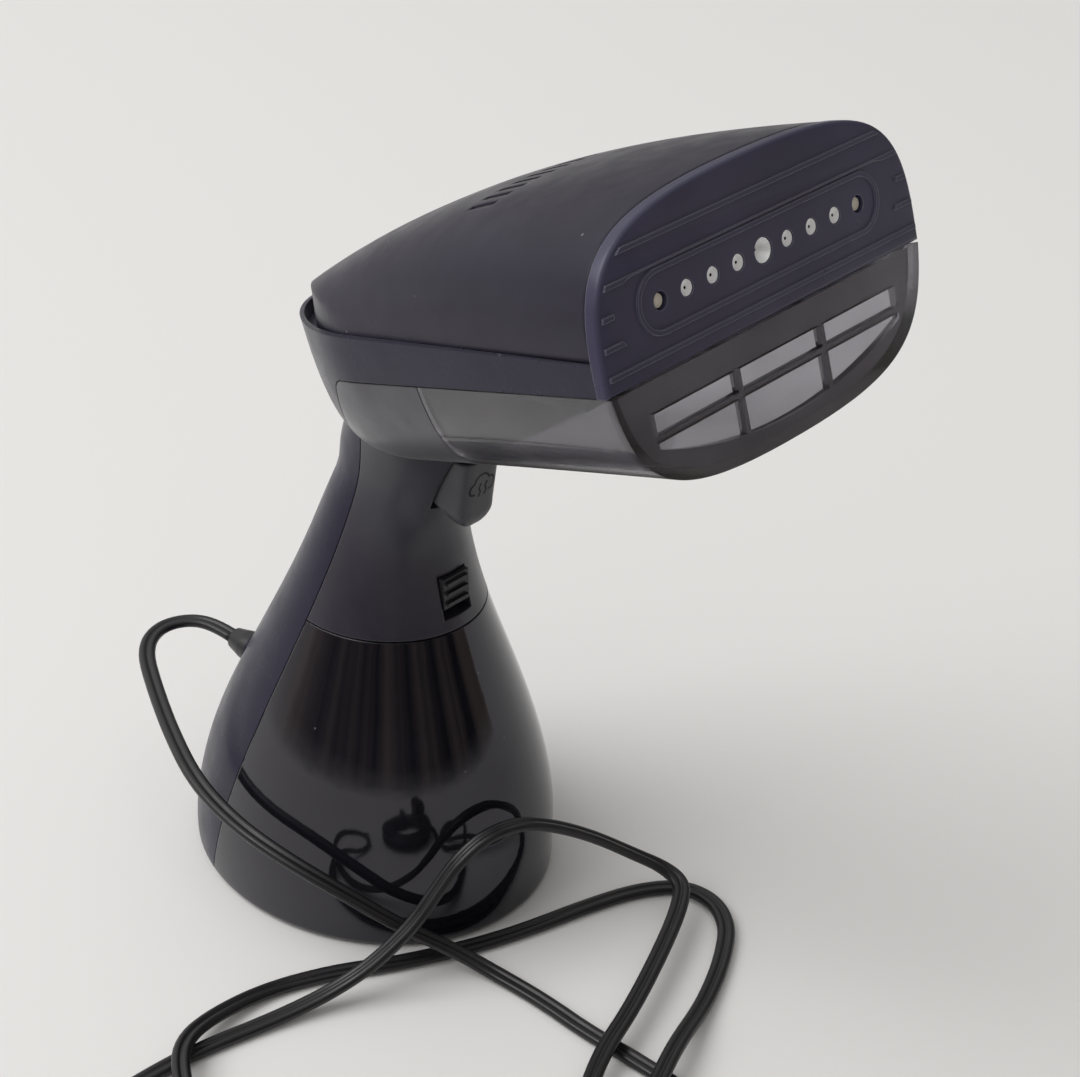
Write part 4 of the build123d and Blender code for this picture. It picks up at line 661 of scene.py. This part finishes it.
jacket = moulded(
    "lead_jacket", (0.0095, 0.0095, 0.011), rough=0.36, rough_spread=0.08, grain=1200.0, depth=0.00001,
    mottle=0.25, edge=0.0002,
)
lead_rings = flat_lead_rings(lead_path)
lead_skin = ring_quads(len(lead_path), lead_sides).tolist()
lead_last = (len(lead_path) - 1) * lead_sides
lead_ends = [list(range(lead_sides)), list(range(lead_last + lead_sides - 1, lead_last - 1, -1))]
lead = new_piece("lead", lead_rings, lead_skin + lead_ends, jacket, len(lead_skin))
dress("cord_strain_relief", jacket)
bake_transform(lead)
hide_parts("power_cord", "cord_coil")

# Tie and plug: a rubber band holds the coil together, and the plug is moulded on to the lead's end.
# The plug's body is the jacket's plastic, and its blades are stamped from brass.
dress("cord_tie", rubber)
plug = dress("plug_body", jacket)
blade_brass = bare_metal("blade_brass", (0.74, 0.62, 0.38), grain=600.0, detail=2.0, roughness=(0.18, 0.4))
blades = dress("plug_blades", blade_brass)

# Floor: one plain pale sheet under the object, large enough to fill the view.
# Matt paint, so that it takes the soft shadow and mirrors next to nothing.
floor_reach = 3.0
floor_corners = np.array([(-1, -1, 0), (1, -1, 0), (1, 1, 0), (-1, 1, 0)]) * floor_reach
floor_paint = bpy.data.materials.new("floor_paint")
floor_paint.use_nodes = True
floor_shader = floor_paint.node_tree.nodes["Principled BSDF"]
floor_shader.inputs["Base Color"].default_value = (0.80, 0.795, 0.785, 1.0)
floor_shader.inputs["Roughness"].default_value = 0.7
floor = new_piece("floor", floor_corners, [(0, 1, 2, 3)], floor_paint)

# Viewer's side of the room: a dark curtain that only reflections see, standing round the front of the base.
# Its brown and grey upright folds come from a noise drawn out in height, and give the tank its streaks.
# The cover attribute fades it out at its hem and at its left end.
curtain_columns, curtain_rows = 60, 12
curtain_reach = 0.35
curtain_low, curtain_high = 0.002, 0.42
curtain_hem, curtain_left_fade = 0.022, math.radians(30.0)
curtain_turn = np.linspace(math.radians(-150.0), math.radians(34.0), curtain_columns)
curtain_share = np.linspace(0.0, 1.0, curtain_rows)[:, None]
curtain_height = curtain_low + (curtain_high - curtain_low) * curtain_share ** 2
curtain_places = np.stack(np.broadcast_arrays(
    curtain_reach * np.sin(curtain_turn), -curtain_reach * np.cos(curtain_turn), curtain_height,
), axis=2)
curtain_corner = np.arange(curtain_rows - 1)[:, None] * curtain_columns + np.arange(curtain_columns - 1)
curtain_above = curtain_corner + curtain_columns
curtain_faces = np.stack([curtain_corner, curtain_corner + 1, curtain_above + 1, curtain_above], axis=2)
curtain_cloth = bpy.data.materials.new("curtain_cloth")
curtain_cloth.use_nodes = True
curtain_tree = curtain_cloth.node_tree
curtain_glow = curtain_tree.nodes.new("ShaderNodeEmission")
curtain_clear = curtain_tree.nodes.new("ShaderNodeBsdfTransparent")
curtain_fade = curtain_tree.nodes.new("ShaderNodeAttribute")
curtain_fade.attribute_name = "cover"
curtain_veil = curtain_tree.nodes.new("ShaderNodeMixShader")
curtain_tree.links.new(curtain_fade.outputs["Fac"], curtain_veil.inputs["Fac"])
curtain_tree.links.new(curtain_clear.outputs["BSDF"], curtain_veil.inputs[1])
curtain_tree.links.new(curtain_glow.outputs["Emission"], curtain_veil.inputs[2])
curtain_output = curtain_tree.nodes["Material Output"]
curtain_tree.links.new(curtain_veil.outputs["Shader"], curtain_output.inputs["Surface"])
curtain_place = curtain_tree.nodes.new("ShaderNodeTexCoord")
curtain_drawn_out = curtain_tree.nodes.new("ShaderNodeMapping")
curtain_drawn_out.inputs["Scale"].default_value = (1.0, 1.0, 0.06)
curtain_tree.links.new(curtain_place.outputs["Object"], curtain_drawn_out.inputs["Vector"])
curtain_fold = noise_value(curtain_tree, curtain_drawn_out.outputs["Vector"], scale=9.0, detail=4.0)
curtain_shades = ((0.012, 0.012, 0.016), (0.46, 0.36, 0.30))
curtain_shade = colour_between(curtain_tree, curtain_fold, (0.42, 0.68), curtain_shades)
curtain_tree.links.new(curtain_shade, curtain_glow.inputs["Color"])
curtain = new_piece("curtain", curtain_places, curtain_faces.reshape(-1, 4).tolist(), curtain_cloth)
curtain_left_cover = np.clip((curtain_turn - curtain_turn[0]) / curtain_left_fade, 0.0, 1.0)
curtain_hem_cover = np.clip(curtain_height / curtain_hem, 0.0, 1.0)
curtain_cover = curtain.data.attributes.new("cover", "FLOAT", "POINT")
curtain_cover.data.foreach_set("value", (curtain_hem_cover * curtain_left_cover).ravel())
curtain.visible_camera = False
curtain.visible_diffuse = False
curtain.visible_shadow = False
curtain.visible_transmission = False

# Light: a wide soft window side, bright high on the left and behind, dim on the right and in front.
# The surround gives most of it, and one large lamp on the same side firms up the shadow.
world = bpy.data.worlds.new("surround")
bpy.context.scene.world = world
world.use_nodes = True
sky_tree = world.node_tree
sky = sky_tree.nodes["Background"]
sky.inputs["Color"].default_value = (1.0, 0.985, 0.965, 1.0)
sky_bright_side = (-0.48, 0.42, 0.77)
sky_place = sky_tree.nodes.new("ShaderNodeTexCoord").outputs["Generated"]
sky_side = measured_along(sky_tree, sky_place, sky_bright_side)
sky_level = carried_over(sky_tree, sky_side, old=(-0.25, 0.95), new=(0.15, 0.88), smooth=True)
sky_tree.links.new(sky_level, sky.inputs["Strength"])
window_place, window_aim = Vector((-1.7, 1.4, 2.8)), Vector((0.0, -0.05, 0.05))
window_lamp = bpy.data.lights.new("window", "AREA")
window_lamp.shape = "SQUARE"
window_lamp.size = 2.6
window_lamp.energy = 66.0
window = bpy.data.objects.new("window", window_lamp)
bpy.context.scene.collection.objects.link(window)
window.location = window_place
window.rotation_euler = (window_aim - window_place).to_track_quat("-Z", "Y").to_euler()

# Camera: it stands at the photograph's angle, turned, raised and rolled about the point that it looks at.
# Its lens follows from a focal length in pixels of a picture that is so many pixels wide.
camera_turn, camera_rise, camera_roll = math.radians(-46.15), math.radians(31.15), math.radians(-0.98)
camera_aim, camera_distance = Vector((0.01879, -0.05529, 0.120)), 0.62999
focal_pixels, picture_pixels = 2300.0, 1080.0
camera_back = Vector((
    math.sin(camera_turn) * math.cos(camera_rise),
    -math.cos(camera_turn) * math.cos(camera_rise),
    math.sin(camera_rise),
))
level_right = Vector((math.cos(camera_turn), math.sin(camera_turn), 0.0))
level_up = camera_back.cross(level_right)
camera_right = level_right * math.cos(camera_roll) + level_up * math.sin(camera_roll)
camera_up = level_up * math.cos(camera_roll) - level_right * math.sin(camera_roll)
camera_place = camera_aim + camera_back * camera_distance
camera_data = bpy.data.cameras.new("camera")
camera_data.sensor_width = 36.0
camera_data.lens = focal_pixels * camera_data.sensor_width / picture_pixels
camera_data.clip_start = 0.01
camera = bpy.data.objects.new("camera", camera_data)
bpy.context.scene.collection.objects.link(camera)
camera.matrix_world = Matrix((
    (camera_right.x, camera_up.x, camera_back.x, camera_place.x),
    (camera_right.y, camera_up.y, camera_back.y, camera_place.y),
    (camera_right.z, camera_up.z, camera_back.z, camera_place.z),
    (0.0, 0.0, 0.0, 1.0),
))
bpy.context.scene.camera = camera
bpy.context.scene.view_settings.view_transform = "Standard"
